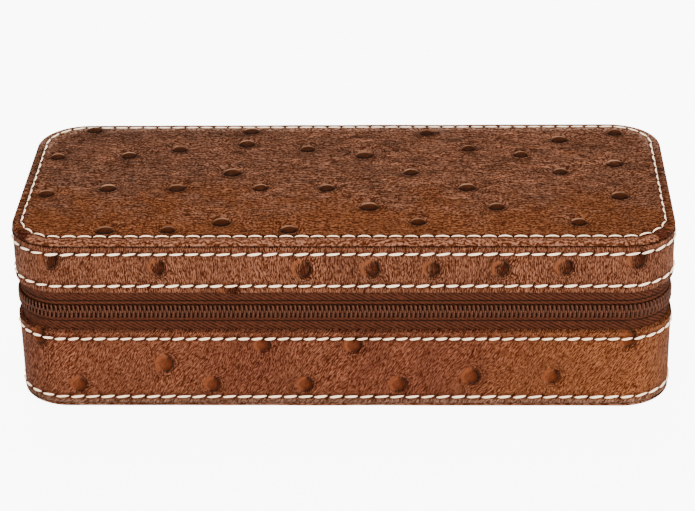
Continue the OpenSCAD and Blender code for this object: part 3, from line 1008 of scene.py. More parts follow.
def leather(name, tone, stretch, rows=(), start=0.0, spot="UV", slant=0.6, turn=0.0, tint=None, dome_tone=None,
            dome_share=1.0, dome_grain=0.2, lit_cap=0.0, crease_shade=0.85, rim=0.0, contrast=0.95, gloss=0.05, uneven=0.45):
    """Embossed, hand-rubbed hide.

    spot names the coordinates that its grain follows, which turn and stretch shape. rows holds (place,
    spacing) of its stitch rows, and start is the place where the UV map begins. tint adds tones of its own.
    On the bumps, dome_tone sets their polish, which deepens on their steep side as painted shade; lit_cap sets a
    painted highlight on their lit tops; crease_shade and rim set painted shade in the crease and a painted
    highlight on the rim; and dome_grain sets the share of the grain that stays. uneven frays their outline.
    """
    c = colours()
    n = Finish(name)
    away, lean = n.attribute("quill"), n.attribute("lean")
    bend = n.times(n.remap(away, 2.6, 0.6), 3.0)
    across = (1, 0, 0) if stretch[0] > stretch[1] else (0, 1, 0.6)
    grain = n.group(hide_grain(), {"Vector": n.mapped(n.places[spot], Rotation=(0, 0, turn)), "Stretch": stretch,
                                   "Across": across, "Wander": 0.012, "Bend": bend})["Crest"]
    cloud = n.group(clouds(), {"Vector": n.at, "Size": 16.0})
    ragged = n.times(n.minus(n.noise(n.at, 700.0, 2.0), 0.5), uneven)
    marks = n.group(quill_marks(), {"Away": n.plus(away, ragged), "Lean": lean})
    dome = marks["Dome"]
    hole, row = row_marks(n, rows, start, slant)
    colour = n.cover(tone, shade(tone, 0.72), cloud["Broad"], 0.6)
    colour = n.cover(colour, shade(tone, 1.35), cloud["Mottle"], 0.4)
    if tint:
        colour = tint(n, colour, cloud)
    grainy = n.minus(1.0, n.times(dome, 1 - dome_grain))
    valley = n.times(n.remap(grain, 0.49, 0.33), grainy, contrast)
    crest = n.times(n.remap(grain, 0.5, 0.64), grainy, contrast * 0.9)
    deep = n.mix(1.0, colour, (0.3, 0.155, 0.07), "MULTIPLY")
    pale = n.mix(1.0, colour, (2.1, 2.65, 3.8), "MULTIPLY")
    colour = n.mix(crest, n.mix(valley, colour, deep), pale)
    # Partly painted shade: the bumps' own darker polish tone grows stronger on their steep side, away from the
    # light.
    if dome_tone:
        streak = n.plus(n.times(grain, -0.9), 1.35, clamp=True)
        share = n.times(n.remap(lean, -1.1, 0.3, 0.35, 1.0), dome_share)
        colour = n.cover(colour, dome_tone, dome, streak, share)
    # Painted shade: the half of each bump that faces away from the light is darkened.
    turned = n.times(dome, n.remap(lean, -0.2, 0.8), n.remap(away, 0.1, 0.9))
    colour = n.cover(colour, deep, turned, 0.7)
    # Painted highlight: the lit top of each bump is made pale, in patches.
    if lit_cap:
        highlit = n.remap(n.noise(n.at, 38.0, 1.0), 0.38, 0.55, 0.45, 1.0)
        lit = n.times(dome, n.remap(n.times(lean, away), 0.1, -0.32), highlit)
        colour = n.cover(colour, shade(c.painted_highlight, 1.25), lit, lit_cap)
    # The folds are darkened wrinkles. The rim on a bump's lit side gets a painted highlight, its crease painted
    # shade, each stitch row a band of painted shade along its groove, and the needle holes a dark tone that is
    # partly the holes and partly painted shade.
    for over, mask, share in ((deep, marks["Folds"], 0.75), (shade(tone, 1.9), marks["Rim"], rim),
                              (c.painted_shade, marks["Crease"], crease_shade), (deep, row, 0.4), (c.painted_shade, hole, 0.75)):
        colour = n.cover(colour, over, mask, share)
    dull = n.plus(n.times(valley, 0.2), n.times(cloud["Mottle"], 0.08))
    height = n.minus(n.times(grain, grainy), n.times(hole, 1.2))
    height = n.minus(height, n.times(marks["Folds"], 0.8))
    return n.done({"Base Color": colour, "Roughness": n.plus(n.plus(dull, 0.43), n.times(dome, 0.3)),
                   "Specular IOR Level": gloss, "Normal": n.bump(height, 1.0, 0.6 * MM)})


def lid_band_leather(name):
    # The dark dome tone is partly painted shade; rim and crease_shade set the painted highlight and painted shade
    # beside the bumps.
    return leather(name, colours().lid_band, (1650, 370, 1), band_rows("lid"), LID_RIM + RIM_R, contrast=1.35,
                   dome_grain=1.0, dome_tone=(0.038, 0.008, 0.0025), rim=0.75, crease_shade=0.95)


def base_band_leather(name):
    # The dark dome tone is partly painted shade; rim and crease_shade set the painted highlight and painted shade
    # beside the bumps.
    return leather(name, colours().base_band, (1850, 400, 1), band_rows("base"), BASE_SEAM + SEAM_R,
                   contrast=1.35, turn=math.radians(33), dome_tone=(0.078, 0.016, 0.005), dome_share=0.8,
                   tint=base_tint, rim=0.7)


def base_tint(n, colour, cloud):
    """A redder tone in the clouds, painted light that makes the right end a lighter tan, and a paler lower edge."""
    x, _, z = n.xyz(n.at)
    colour = n.cover(colour, (0.13, 0.026, 0.012), cloud["Broad"], 0.25)
    # Painted light: the right end is made a lighter tan, as if lit from the right.
    colour = n.mix(n.remap(x, 30 * MM, 100 * MM, 0.0, 0.8), colour, (0.2, 0.06, 0.017))
    return n.mix(n.remap(z, 6 * MM, 3 * MM, 0.0, 0.75), colour, (0.185, 0.09, 0.048))


def spine_leather(name):
    """Thin leather without bumps or stitches, creased along the fold."""
    return leather(name, shade(colours().base_band, 0.8), (330, 1150, 1))


# The binding strip's half length and tone, which is partly painted light, and the tone of the mark beyond its
# folded ends
STRIP_END = 118 * MM
STRIP_TONE = (0.18, 0.066, 0.031)
MARK_TONE = (0.045, 0.009, 0.004)


def panel_warmth(n, colour, cloud):
    """Amber towards the front edge, a grey painted sheen towards the back left and along the back edge, and the
    binding strip.

    The strip edges the front as far as STRIP_END either way, and its ends are folded under. Its lighter tone is
    partly the binding's own leather and partly painted light, as the roll faces the front.
    """
    c = colours()
    x, y, _ = n.xyz(n.at)
    run, depth, _ = n.xyz(n.uv)
    wavy = n.plus(y, n.times(n.minus(cloud["Mottle"], 0.5), 30 * MM))
    creased = n.noise(n.mapped(n.at, Scale=(90, 230, 1)), 1.0, 4.0, 0.65, 1.2)
    colour = n.mix(n.remap(creased, 0.52, 0.36, 0.0, 0.8), colour, shade(c.panel, 0.45))
    colour = n.mix(n.remap(creased, 0.54, 0.68, 0.0, 0.75), colour, shade(c.panel, 1.9))
    colour = n.cover(colour, c.amber, n.remap(wavy, 0.0, -45 * MM), 0.75)
    colour = n.mix(n.remap(x, 50 * MM, 120 * MM, 0.0, 0.15), colour, shade(c.panel, 0.6))
    # Painted sheen: a grey reflection painted over the back left, in clouds.
    left = n.remap(n.minus(wavy, n.times(x, 0.35)), 0.0, 75 * MM)
    colour = n.cover(colour, c.painted_sheen, left, n.plus(n.times(cloud["Broad"], 0.55), 0.2))
    # Painted sheen: a pale grey band painted along the back edge.
    back = n.times(n.remap(depth, 9.5 * MM, 4 * MM), n.remap(y, 20 * MM, 40 * MM))
    colour = n.cover(colour, shade(c.painted_highlight, 0.8), back, 0.5)
    total = path_length(stitches().panel_in)
    left_side = n.math("GREATER_THAN", run, total / 2)
    s = n.math("ABSOLUTE", n.minus(run, n.times(left_side, total)))
    border = n.remap(depth, 3.2 * MM, 2.6 * MM)
    strip = n.remap(s, STRIP_END + 0.4 * MM, STRIP_END - 0.4 * MM)
    # Partly painted light: the strip is lighter than the panel partly because its roll faces the front light.
    colour = n.cover(colour, STRIP_TONE, border, strip, 0.85)
    beyond = n.remap(s, STRIP_END - 0.2 * MM, STRIP_END + 0.2 * MM)
    mark = n.times(beyond, n.remap(s, STRIP_END + 8 * MM, STRIP_END + 3 * MM))
    return n.cover(colour, MARK_TONE, border, mark, 0.9)


def panel_leather(name):
    st, c = stitches(), colours()
    rows = ((st.panel_in, fit_pitch(st.panel_pitch, st.panel_in)),)
    # The dark dome tone is partly painted shade; lit_cap sets the painted highlight on the bumps' tops and
    # crease_shade the painted shade in their creases.
    return leather(name, c.panel, (610, 640, 640), rows, spot="Object", slant=0.0, contrast=0.9, gloss=0.02,
                   uneven=0.1, tint=panel_warmth, lit_cap=1.0, dome_tone=shade(c.panel, 0.25), dome_share=0.9,
                   crease_shade=1.0)


def waxed_thread(name):
    """Two twisted plies. The thread glows with painted light, its emission making it brighter than the lamps alone
    do.
    """
    n = Finish(name)
    u, v, _ = n.xyz(n.uv)
    ply = n.zigzag(n.plus(n.times(v, 7.0), n.times(u, 2.0)))
    fuzz = n.noise(n.at, 1500.0, 3.0)
    colour = n.mix(n.remap(ply, 0.18, 0.02), colours().thread, (0.72, 0.56, 0.42))
    colour = n.mix(n.remap(fuzz, 0.5, 0.7, 0.0, 0.25), colour, (0.7, 0.55, 0.4))
    # Painted light: the emission makes the thread glow, though it is no lamp.
    return n.done({"Base Color": colour, "Roughness": 0.6, "Sheen Weight": 0.8, "Sheen Roughness": 0.5,
                   "Emission Color": (1.0, 0.66, 0.4, 1.0), "Emission Strength": 1.6,
                   "Normal": n.bump(n.plus(ply, n.times(fuzz, 0.3)), 0.5, 0.3 * MM)})


def twill_tape(name):
    """Woven tape: slanted ribs crossed by fine yarn, with a raised cord beside the coil."""
    c = colours()
    n = Finish(name)
    u = n.xyz(n.uv)[0]
    z = n.xyz(n.at)[2]
    wobble = n.times(n.noise(n.at, 160.0, 2.0), 1.2 * MM)
    slant = n.plus(n.plus(u, n.times(z, 1.9)), wobble)
    ribs, yarn, rows = (n.zigzag(n.math("DIVIDE", value, spacing * MM))
                        for value, spacing in ((slant, 2.6), (u, 0.52), (z, 0.45)))
    fuzz = n.noise(n.at, 900.0, 3.0, 0.65)
    colour = n.mix(n.remap(ribs, 0.05, 0.34), shade(c.tape, 0.25), shade(c.tape, 1.5))
    colour = n.mix(n.remap(fuzz, 0.42, 0.72, 0.0, 0.7), colour, shade(c.tape, 2.4))
    cord = n.apart(n.apart(z, MID_Z), zip_sizes().chain_w / 2 + CORD_IN)
    # Painted highlight and shade: the raised cord is made lighter on top, with dark lines of painted shade at its
    # feet.
    colour = n.mix(n.remap(cord, 0.6 * MM, 0.2 * MM, 0.0, 0.5), colour, shade(c.tape, 1.8))
    colour = n.mix(n.remap(n.apart(cord, 0.9 * MM), 0.5 * MM, 0.1 * MM, 0.0, 0.8), colour, shade(c.tape, 0.12))
    height = n.plus(n.times(ribs, 1.3), n.times(n.times(yarn, rows), 0.9))
    return n.done({"Base Color": colour, "Roughness": 0.8, "Specular IOR Level": 0.08,
                   "Normal": n.bump(height, 0.8, 0.7 * MM)})


def nylon_coil(name):
    n = Finish(name)
    haze = n.noise(n.at, 400.0, 2.0)
    tone = colours().coil
    return n.done({"Base Color": n.mix(n.remap(haze, 0.35, 0.7), tone, shade(tone, 1.5)),
                   "Roughness": n.remap(haze, 0.3, 0.7, 0.36, 0.5), "Specular IOR Level": 0.35,
                   "Normal": n.bump(n.noise(n.at, 2200.0, 2.0), 0.15, 0.2 * MM)})


def antique_brass(name):
    n = Finish(name)
    tarnish = n.noise(n.at, 130.0, 4.0, 0.6, 0.4)
    scratch = n.noise(n.mapped(n.at, Scale=(300, 2600, 2600)), 1.0, 2.0)
    return n.done({"Base Color": n.mix(n.remap(tarnish, 0.42, 0.66), colours().metal, (0.17, 0.1, 0.045)),
                   "Metallic": 1.0, "Normal": n.bump(scratch, 0.12, 0.2 * MM),
                   "Roughness": n.plus(n.remap(tarnish, 0.3, 0.7, 0.22, 0.45), n.times(scratch, 0.08))})


def napped(name, tone):
    """Napped suede with soft finger marks."""
    n = Finish(name)
    strokes = n.noise(n.at, 70.0, 4.0, 0.65, 0.3)
    nap = n.noise(n.at, 1500.0, 3.0, 0.75)
    colour = n.mix(n.remap(strokes, 0.32, 0.72), shade(tone, 0.86), shade(tone, 1.12))
    colour = n.mix(n.remap(nap, 0.36, 0.7, 0.0, 0.6), colour, shade(tone, 0.5))
    return n.done({"Base Color": colour, "Roughness": 0.95, "Sheen Weight": 0.18, "Sheen Roughness": 0.45,
                   "Normal": n.bump(n.plus(nap, n.times(strokes, 0.4)), 0.45, 0.4 * MM)})


def cushion_suede(name):
    return napped(name, colours().cushion)


def brushed_suede(name):
    return napped(name, colours().suede)


def brown_board(name):
    """Dyed fibre board."""
    n = Finish(name)
    fleck = n.noise(n.at, 500.0, 4.0, 0.7)
    return n.done({"Base Color": n.mix(n.remap(fleck, 0.35, 0.7), (0.1, 0.05, 0.028), (0.17, 0.09, 0.055)),
                   "Roughness": 0.9, "Normal": n.bump(fleck, 0.3, 0.3 * MM)})


def open_foam(name):
    n = Finish(name)
    cells = n.add("ShaderNodeTexVoronoi", {"Vector": n.at, "Scale": 900.0}).outputs["Distance"]
    return n.done({"Base Color": n.mix(n.remap(cells, 0.2, 0.6), (0.72, 0.68, 0.56), (0.5, 0.46, 0.36)),
                   "Roughness": 0.95, "Normal": n.bump(cells, 0.4, 0.4 * MM)})


def studio_floor(name):
    """Pale floor that looks brighter than the light it gives back, as an overlit studio sweep does."""
    n = Finish(name)
    floor = n.shader.outputs[0]
    glow = n.add("ShaderNodeEmission", {"Color": (1, 1, 1, 1), "Strength": 8.0})
    seen = n.add("ShaderNodeLightPath", {}).outputs["Is Camera Ray"]
    both = n.add("ShaderNodeAddShader", {0: floor, 1: glow.outputs[0]})
    mixed = n.add("ShaderNodeMixShader", {0: seen, 1: floor, 2: both.outputs[0]})
    n.fill(n.tree.nodes["Material Output"], {"Surface": mixed.outputs[0]})
    return n.done({"Base Color": (0.9, 0.9, 0.9, 1.0), "Roughness": 0.9})


FINISHES = {build.__name__: build for build in (
    lid_band_leather, base_band_leather, spine_leather, panel_leather, waxed_thread, twill_tape, nylon_coil,
    antique_brass, cushion_suede, brushed_suede, brown_board, open_foam, studio_floor)}
MADE = {}


def material(name):
    """A finish by name, made the first time it is asked for."""
    if name not in MADE:
        MADE[name] = FINISHES[name](name)
    return MADE[name]


def paint_node(name, finish):
    """Gives a CAD node that stays its finish."""
    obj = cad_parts[name]
    obj.data.materials.clear()
    obj.data.materials.append(material(finish))


# ---------- operators: one for each piece or group of like pieces ----------

FLOOR_HALF = 6
WORLD_TONE, WORLD_STRENGTH = (1.0, 0.85, 0.7, 1.0), 0.3
LIGHT_TONE = (1.0, 0.95, 0.89)
LIGHT_AIM = Vector((0, 0, 0.04))
# Name, place, side of the square and power of each soft light
LIGHTS = (("key", (-0.1, 0.8, 1.15), 0.7, 20), ("front", (-0.8, -1.35, 0.75), 0.8, 21),
          ("fill", (1.2, -1.0, 0.7), 1.0, 31), ("top", (0.1, -0.15, 1.5), 1.6, 8))
# The camera stands this far from the case's middle, looks down, and is turned and rolled a little
DISTANCE, PITCH, YAW, ROLL = 0.958, 0.482, 0.039, -0.019
FOCAL_PX, FRAME_W, SENSOR = 2382.0, 695.0, 36.0
SHIFT_PX = (1.0, 6.0)


class CASE_OT_stage(bpy.types.Operator):
    """Pale floor, soft studio light and the camera"""
    bl_idname = "watch_case.stage"
    bl_label = "Stage"

    def execute(self, context):
        bm = bmesh.new()
        bmesh.ops.create_grid(bm, x_segments=1, y_segments=1, size=FLOOR_HALF)
        floor = put("floor", to_mesh("floor", bm))
        floor.data.materials.append(material("studio_floor"))
        for light in LIGHTS:
            self.light(*light)
        world = bpy.data.worlds.new("studio")
        world.use_nodes = True
        background = world.node_tree.nodes["Background"]
        background.inputs[0].default_value = WORLD_TONE
        background.inputs[1].default_value = WORLD_STRENGTH
        context.scene.world = world
        self.camera(context)
        return {"FINISHED"}

    def light(self, name, place, size, power):
        lamp = bpy.data.lights.new(name, "AREA")
        lamp.shape = "SQUARE"
        lamp.size = size
        lamp.energy = power
        lamp.color = LIGHT_TONE
        obj = put(name, lamp)
        obj.location = place
        obj.rotation_euler = (LIGHT_AIM - Vector(place)).to_track_quat("-Z", "Y").to_euler()

    def camera(self, context):
        data = bpy.data.cameras.new("camera")
        data.sensor_width = SENSOR
        data.lens = FOCAL_PX / FRAME_W * SENSOR
        data.shift_x, data.shift_y = (shift / FRAME_W for shift in SHIFT_PX)
        obj = put("camera", data)
        away = Vector((math.sin(YAW) * math.cos(PITCH), -math.cos(YAW) * math.cos(PITCH), math.sin(PITCH)))
        middle = Vector((0, 0, TOP_Z / 2))
        look = (-away).to_track_quat("-Z", "Y").to_matrix().to_4x4()
        obj.matrix_world = Matrix.Translation(middle + away * DISTANCE) @ look @ Matrix.Rotation(ROLL, 4, "Z")
        context.scene.camera = obj


class CASE_OT_panels(bpy.types.Operator):
    """Top and bottom leather panels with their rolled borders"""
    bl_idname = "watch_case.panels"
    bl_label = "Panels"

    def execute(self, context):
        make_panel("lid_top_panel", "lid", "lid_top_leather", TOP_Z, 1, hand_placed(PANEL_QUILLS))
        make_panel("base_bottom_panel", "base", "base_bottom_leather", 0.0, -1,
                   hand_placed(PANEL_QUILLS, -1))
        return {"FINISHED"}


class CASE_OT_bands(bpy.types.Operator):
    """Side bands of lid and base"""
    bl_idname = "watch_case.bands"
    bl_label = "Side bands"

    def execute(self, context):
        make_band("lid", LID_SEAM, LID_RIM, LID_QUILLS)
        make_band("base", BASE_SEAM, BASE_RIM, BASE_QUILLS)
        return {"FINISHED"}


# How high the stitches arch, how far a panel's bow sideways, and the top's width as a share of the others'
TOP_ARCH, BOTTOM_ARCH, BAND_ARCH = 0.34 * MM, 0.2 * MM, 0.3 * MM
BOW = 0.5 * MM
TOP_WIDTH = 0.66


class CASE_OT_stitching(bpy.types.Operator):
    """Six rows of contrast stitching"""
    bl_idname = "watch_case.stitching"
    bl_label = "Stitching"

    def execute(self, context):
        st = stitches()
        inset = st.panel_in
        pitch = fit_pitch(st.panel_pitch, inset)
        sew("lid_top_stitching", "lid", pitch, inset, on_panel(TOP_Z, 1), 0, BOW, TOP_ARCH, TOP_WIDTH)
        sew("base_bottom_stitching", "base", pitch, inset, on_panel(STAND, -1), 0, -BOW, BOTTOM_ARCH)
        for part in ("lid", "base"):
            for side, (z, pitch) in zip(("upper", "lower"), band_rows(part)):
                sew(f"{part}_{side}_stitching", part, pitch, 0, on_band(z), st.lean, 0, BAND_ARCH)
        return {"FINISHED"}


# Width of the softened edges of slider and pull
SLIDER_BEVEL, PULL_BEVEL = 0.18 * MM, 0.25 * MM


class CASE_OT_zip(bpy.types.Operator):
    """Zip tapes, coils, slider, pull and stops"""
    bl_idname = "watch_case.zip"
    bl_label = "Zip"

    def execute(self, context):
        make_tape("lid", TAPE_HIGH, TAPE_LOW)
        make_tape("base", 2 * MID_Z - TAPE_HIGH, 2 * MID_Z - TAPE_LOW)
        make_coil("lid", 1)
        make_coil("base", -1)
        copy_node("slider", "zip_slider", "zip_slider", SLIDER_BEVEL, 2, "antique_brass")
        copy_node("pull_tab", "zip_pull", "zip_pull", PULL_BEVEL, 2, "antique_brass")
        for node in ("base_zip_top_stop", "lid_zip_top_stop", "zip_bottom_stop"):
            paint_node(node, "antique_brass")
        return {"FINISHED"}


# How far the spine is glued to the lid, and its mesh steps
GLUED = 5.5 * MM
SPINE_STEP_UP, SPINE_STEP_ALONG = 0.9 * MM, 3 * MM


class CASE_OT_spine(bpy.types.Operator):
    """Leather spine and its lining"""
    bl_idname = "watch_case.spine"
    bl_label = "Spine"

    def execute(self, context):
        back, front = (HALF_Y - y for y in reversed(span("spine_leather", 1)))
        cover_low = span("spine_leather", 2)[0]
        inner_low, inner_high = span("spine_lining", 2)
        for name, node, depth, t, low, high, finish, slot in (
                ("spine_cover", "spine_leather", back, front - back, cover_low, LID_RIM + GLUED,
                 "spine_leather", "band_leather"),
                ("spine_inner", "spine_lining", front + 0.1 * MM, interior().suede_t, inner_low - 0.1 * MM,
                 inner_high + 0.2 * MM, "brushed_suede", "suede")):
            bm = bmesh.new()
            profile = [(depth, z) for z in steps(low, high, SPINE_STEP_UP)]
            profile += [(depth + t, z) for z in steps(high, low, SPINE_STEP_UP)]
            middle = path_length(0) / 2
            sweep(bm, profile, middle - SPINE_HALF, middle + SPINE_HALF, SPINE_STEP_ALONG, closed=False)
            obj = add_piece(name, bm, None, node, finish)
            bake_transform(obj)
        return {"FINISHED"}


# The linings: how far in from a tape's face they begin and how thick they are there, how far they stand off
# the leather's rim, their mesh steps, and the scale and strengths of their unevenness
LINING_IN, LINING_END = 1.05 * MM, 0.3 * MM
LINING_OFF = 0.15 * MM
LINING_STEP_UP, LINING_STEP_ALONG = 1.6 * MM, 2.2 * MM
LINING_SCALE, COLLAR_SWELL, WALL_SWELL = 60, 0.12 * MM, 0.1 * MM
DIVIDER_BEVEL = 0.9 * MM
# The lid's pad: how far in from its edge it swells, depth and width of its seams past the swelling, and
# height, spacing and reach of the tucks beside them
PAD_EDGE = 7 * MM
PAD_SEAM_D, PAD_SEAM_W = 0.7 * MM, 2.6 * MM
TUCK_H, TUCK_RUN, TUCK_W = 0.12 * MM, 2.4 * MM, 5 * MM


class CASE_OT_interior(bpy.types.Operator):
    """Boards, linings, dividers and the pad inside the lid"""
    bl_idname = "watch_case.interior"
    bl_label = "Interior"

    def execute(self, context):
        for node in ("base_floor_board", "base_wall_core", "base_collar", "lid_top_board", "lid_wall_core"):
            paint_node(node, "brown_board")
        paint_node("lid_top_foam", "open_foam")
        self.collar()
        self.lid_band()
        self.floor()
        self.lid_pad()
        for node in ("divider_1", "divider_2", "divider_3"):
            copy_node(f"{node}_cover", node, "base", DIVIDER_BEVEL, 3, "brushed_suede")
        return {"FINISHED"}

    def collar(self):
        """Lining that runs in from the rim, up over the collar and down to the floor."""
        k = interior()
        node = "base_wall_lining"
        outer = inset_of(node)
        inner = inset_of("base_floor_lining") - 0.1 * MM
        low, top = span(node, 2)
        t, r = k.suede_t, (inner - outer) / 2
        rim = BASE_RIM + LINING_OFF
        start = TAPE_OUT + LINING_IN
        under, shoulder, shoulder_in = rim - LINING_END, top - 0.8 * MM, t + 0.3 * MM
        profile = [(start, under), (start, rim), ((start + outer) / 2, rim)]
        profile += [(outer, z) for z in steps(rim, top - r, LINING_STEP_UP)]
        profile += quarter_arc((outer + r, top - r), r, 0, 5)[1:] + quarter_arc((outer + r, top - r), r, 90, 5)[1:]
        profile += [(inner, z) for z in steps(top - r, low, LINING_STEP_ALONG)][1:]
        profile += [(inner - t, low), (inner - t, top - r), (inner - shoulder_in, shoulder),
                    (outer + shoulder_in, shoulder), (outer + t, top - r), (outer + t, under)]
        self.strip("collar_lining", node, "base", profile, COLLAR_SWELL)

    def lid_band(self):
        """Lining of the lid's wall, turned over its rim."""
        t = interior().suede_t
        node = "lid_wall_lining"
        outer = inset_of(node)
        high = span(node, 2)[1]
        rim = LID_RIM - LINING_OFF
        start = TAPE_OUT + LINING_IN
        over, edge_up, wall_up = rim + LINING_END, 0.5 * MM, 1.5 * MM
        profile = [(start, over), (start, rim), ((start + outer) / 2, rim), (outer, rim),
                   (outer + t * 0.7, rim + edge_up / 5), (outer + t, rim + edge_up)]
        profile += [(outer + t, z) for z in steps(rim + wall_up, high, LINING_STEP_UP)]
        profile += [(outer, high), (outer, over)]
        self.strip("lid_wall_cloth", node, "lid", profile, WALL_SWELL)

    def strip(self, name, node, body, profile, unevenness):
        """A lining swept all round the case."""
        bm = bmesh.new()
        half = path_length(0) / 2
        sweep(bm, profile, -half, half, LINING_STEP_ALONG)
        co = coords(bm)
        _, out, _ = from_core(co[:, :2])
        co[:, :2] += out * swell(co, LINING_SCALE, unevenness)[:, None]
        set_coords(bm, co)
        add_piece(name, bm, body, node, "brushed_suede")

    def floor(self):
        """Cloth on the floor, with a softly uneven face."""
        node = "base_floor_lining"
        low, top = span(node, 2)
        outer = inset_of(node)
        roll, step, unevenness = 0.5 * MM, 2.5 * MM, 0.25 * MM
        border = rolled_border(outer, top, roll, 1, 2) + [(outer, low)]
        bm = bmesh.new()
        slab(bm, top, border, step)
        co = coords(bm)
        co[:, 2] -= np.where(co[:, 2] > low + 0.1 * MM, np.abs(swell(co, 50, unevenness)), 0)
        set_coords(bm, co)
        add_piece("floor_cloth", bm, "base", node, "brushed_suede")

    def lid_pad(self):
        """Pad inside the lid, sewn down in four sections over the four cells."""
        k = interior()
        node = "lid_lining_pad"
        face, back = span(node, 2)
        outer = inset_of(node)
        roll, step, unevenness = 2.2 * MM, 1.2 * MM, 0.3 * MM
        border = rolled_border(outer, face, roll, -1, 5) + [(outer, back)]
        bm = bmesh.new()
        slab(bm, face, border, step)
        co = coords(bm)
        inside = inside_depth(co[:, :2]) - outer
        skin = np.clip((back - co[:, 2]) / (back - face), 0, 1)
        puff = k.pad_crown * (1 - bell(np.clip(inside, 0, 1), PAD_EDGE))
        for divider in ("divider_1", "divider_2", "divider_3"):
            across = co[:, 0] - sum(span(divider, 0)) / 2
            puff -= (k.pad_crown + PAD_SEAM_D) * np.exp(-np.abs(across / PAD_SEAM_W) ** 1.3)
            puff += TUCK_H * np.sin(co[:, 1] / TUCK_RUN) * bell(across, TUCK_W)
        co[:, 2] -= (puff + swell(co, 45, unevenness)) * skin
        set_coords(bm, co)
        pad = add_piece("lid_pad", bm, "lid", node, "brushed_suede")


# The simulation starts from a block this much smaller than the cushion and runs for so many frames
FORM_SHARE = 0.93
CLOTH_FRAMES = 20
# A cushion's seams: depth and width, then height, place and width of the ridges beside them, and depth,
# number and width of the pleats that run round
SEAM_D, SEAM_W = 0.95 * MM, 1.1 * MM
RIDGE_H, RIDGE_OFF, RIDGE_W = 0.3 * MM, 2.6 * MM, 1.3 * MM
PLEAT_D, PLEATS, PLEAT_W = 0.14 * MM, 31, 3.2 * MM


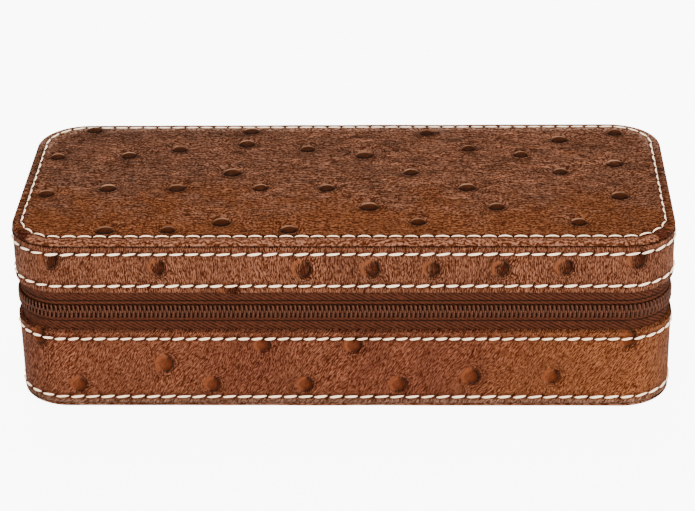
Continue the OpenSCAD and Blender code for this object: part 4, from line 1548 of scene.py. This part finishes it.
class CASE_OT_cushions(bpy.types.Operator):
    """Four watch cushions, swollen by a cloth simulation"""
    bl_idname = "watch_case.cushions"
    bl_label = "Cushions"

    def execute(self, context):
        boxes = [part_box(f"watch_cushion_{i}") for i in range(1, 5)]
        low, high = boxes[0]
        size = Vector(high) - Vector(low)
        form = self.puffed(context, size)
        for i, (low, high) in enumerate(boxes, 1):
            middle = (Vector(low) + Vector(high)) / 2
            bm = bmesh.new()
            bm.from_mesh(form)
            self.fit(bm, size)
            self.sew_seams(bm, size, i)
            bmesh.ops.transform(bm, matrix=Matrix.Translation(middle), verts=bm.verts)
            node = f"watch_cushion_{i}"
            cushion = add_piece(f"cushion_{i}", bm, node, node, "cushion_suede")
        bpy.data.meshes.remove(form)
        return {"FINISHED"}

    def start_form(self, size):
        """Rounded block, slightly smaller than the cushion."""
        bm = bmesh.new()
        made = bmesh.ops.create_cube(bm, size=1)
        bmesh.ops.scale(bm, vec=size * FORM_SHARE, verts=made["verts"])
        bmesh.ops.bevel(bm, geom=bm.edges[:], offset=interior().cushion_r, segments=4, profile=0.5,
                        affect="EDGES", material=-1)
        return put("cushion_form", to_mesh("cushion_form", bm))

    def baked(self, obj):
        """A new mesh of the object with its modifiers applied, and the modifiers removed."""
        graph = bpy.context.evaluated_depsgraph_get()
        mesh = bpy.data.meshes.new_from_object(obj.evaluated_get(graph))
        obj.modifiers.clear()
        return mesh

    def puffed(self, context, size):
        k = interior()
        obj = self.start_form(size)
        remesh = obj.modifiers.new("even", "REMESH")
        remesh.mode = "VOXEL"
        remesh.voxel_size = k.voxel
        obj.data = self.baked(obj)
        before = np.array([v.co for v in obj.data.vertices])
        cloth = obj.modifiers.new("swell", "CLOTH")
        cloth.settings.use_pressure = True
        cloth.settings.uniform_pressure_force = 4
        cloth.settings.mass = 0.005
        cloth.settings.effector_weights.gravity = 0
        for step in range(CLOTH_FRAMES):
            context.scene.frame_set(step + 1)
        swollen = self.baked(obj)
        context.scene.frame_set(1)
        after = np.array([v.co for v in swollen.vertices])
        moved = after - before
        far = np.linalg.norm(moved, axis=1)
        moved *= np.minimum(1, k.swell_cap / np.maximum(far, 1e-9))[:, None]
        for vert, place in zip(swollen.vertices, before + moved):
            vert.co = place
        obj.data = swollen
        smooth = obj.modifiers.new("smooth", "SUBSURF")
        smooth.levels = 1
        smooth.render_levels = 1
        form = self.baked(obj)
        bpy.data.objects.remove(obj)
        return form

    def fit(self, bm, size):
        """Brings the swollen form back to the cushion's own size."""
        co = coords(bm)
        low, high = co.min(axis=0), co.max(axis=0)
        set_coords(bm, (co - (low + high) / 2) / (high - low) * np.array(size))

    def sew_seams(self, bm, size, number):
        """Pulls in the seams round both ends, with their pleats, and makes the cover uneven."""
        bmesh.ops.subdivide_edges(bm, edges=bm.edges[:], cuts=1, use_grid_fill=True, smooth=0.0)
        bm.normal_update()
        co = coords(bm)
        normal = np.array([v.normal for v in bm.verts])
        end = size.x / 2 - interior().end_seam
        depth = np.zeros(len(co))
        for side in (-1, 1):
            across = co[:, 0] - side * end
            depth += SEAM_D * bell(across, SEAM_W) - RIDGE_H * bell(np.abs(across) - RIDGE_OFF, RIDGE_W)
            around = np.arctan2(co[:, 2], co[:, 1])
            depth += PLEAT_D * np.sin(around * PLEATS + number) * bell(across, PLEAT_W)
        depth += swell(co + number, 45, 0.5 * MM)
        half = np.array(size) / 2
        set_coords(bm, np.clip(co - normal * depth[:, None], -half, half))


class CASE_PT_sidebar(bpy.types.Panel):
    """Lists the case's pieces"""
    bl_idname = "CASE_PT_sidebar"
    bl_label = "Watch case"
    bl_space_type = "VIEW_3D"
    bl_region_type = "UI"
    bl_category = "Watch case"

    def draw(self, context):
        for operator in OPERATORS:
            self.layout.operator(operator.bl_idname)
        for key, _ in GROUPS:
            settings = getattr(context.scene, key)
            box = self.layout.box()
            for value in settings.bl_rna.properties.keys():
                if value not in ("rna_type", "name"):
                    box.prop(settings, value)


OPERATORS = (CASE_OT_stage, CASE_OT_panels, CASE_OT_bands, CASE_OT_stitching, CASE_OT_zip, CASE_OT_spine,
             CASE_OT_interior, CASE_OT_cushions)
GROUPS = (("case_sizes", CaseSizes), ("case_stitches", StitchSizes), ("case_zip", ZipSizes),
          ("case_interior", InteriorSizes), ("case_colours", Colours))


def register():
    for _, group in GROUPS:
        bpy.utils.register_class(group)
    for key, group in GROUPS:
        setattr(bpy.types.Scene, key, PointerProperty(type=group))
    for operator in OPERATORS:
        bpy.utils.register_class(operator)
    bpy.utils.register_class(CASE_PT_sidebar)


def unregister():
    bpy.utils.unregister_class(CASE_PT_sidebar)
    for operator in reversed(OPERATORS):
        bpy.utils.unregister_class(operator)
    for key, group in reversed(GROUPS):
        delattr(bpy.types.Scene, key)
        bpy.utils.unregister_class(group)


def main():
    register()
    bpy.ops.watch_case.stage()
    bpy.ops.watch_case.panels()
    bpy.ops.watch_case.bands()
    bpy.ops.watch_case.stitching()
    bpy.ops.watch_case.zip()
    bpy.ops.watch_case.spine()
    bpy.ops.watch_case.interior()
    bpy.ops.watch_case.cushions()


if __name__ == "__main__":
    main()
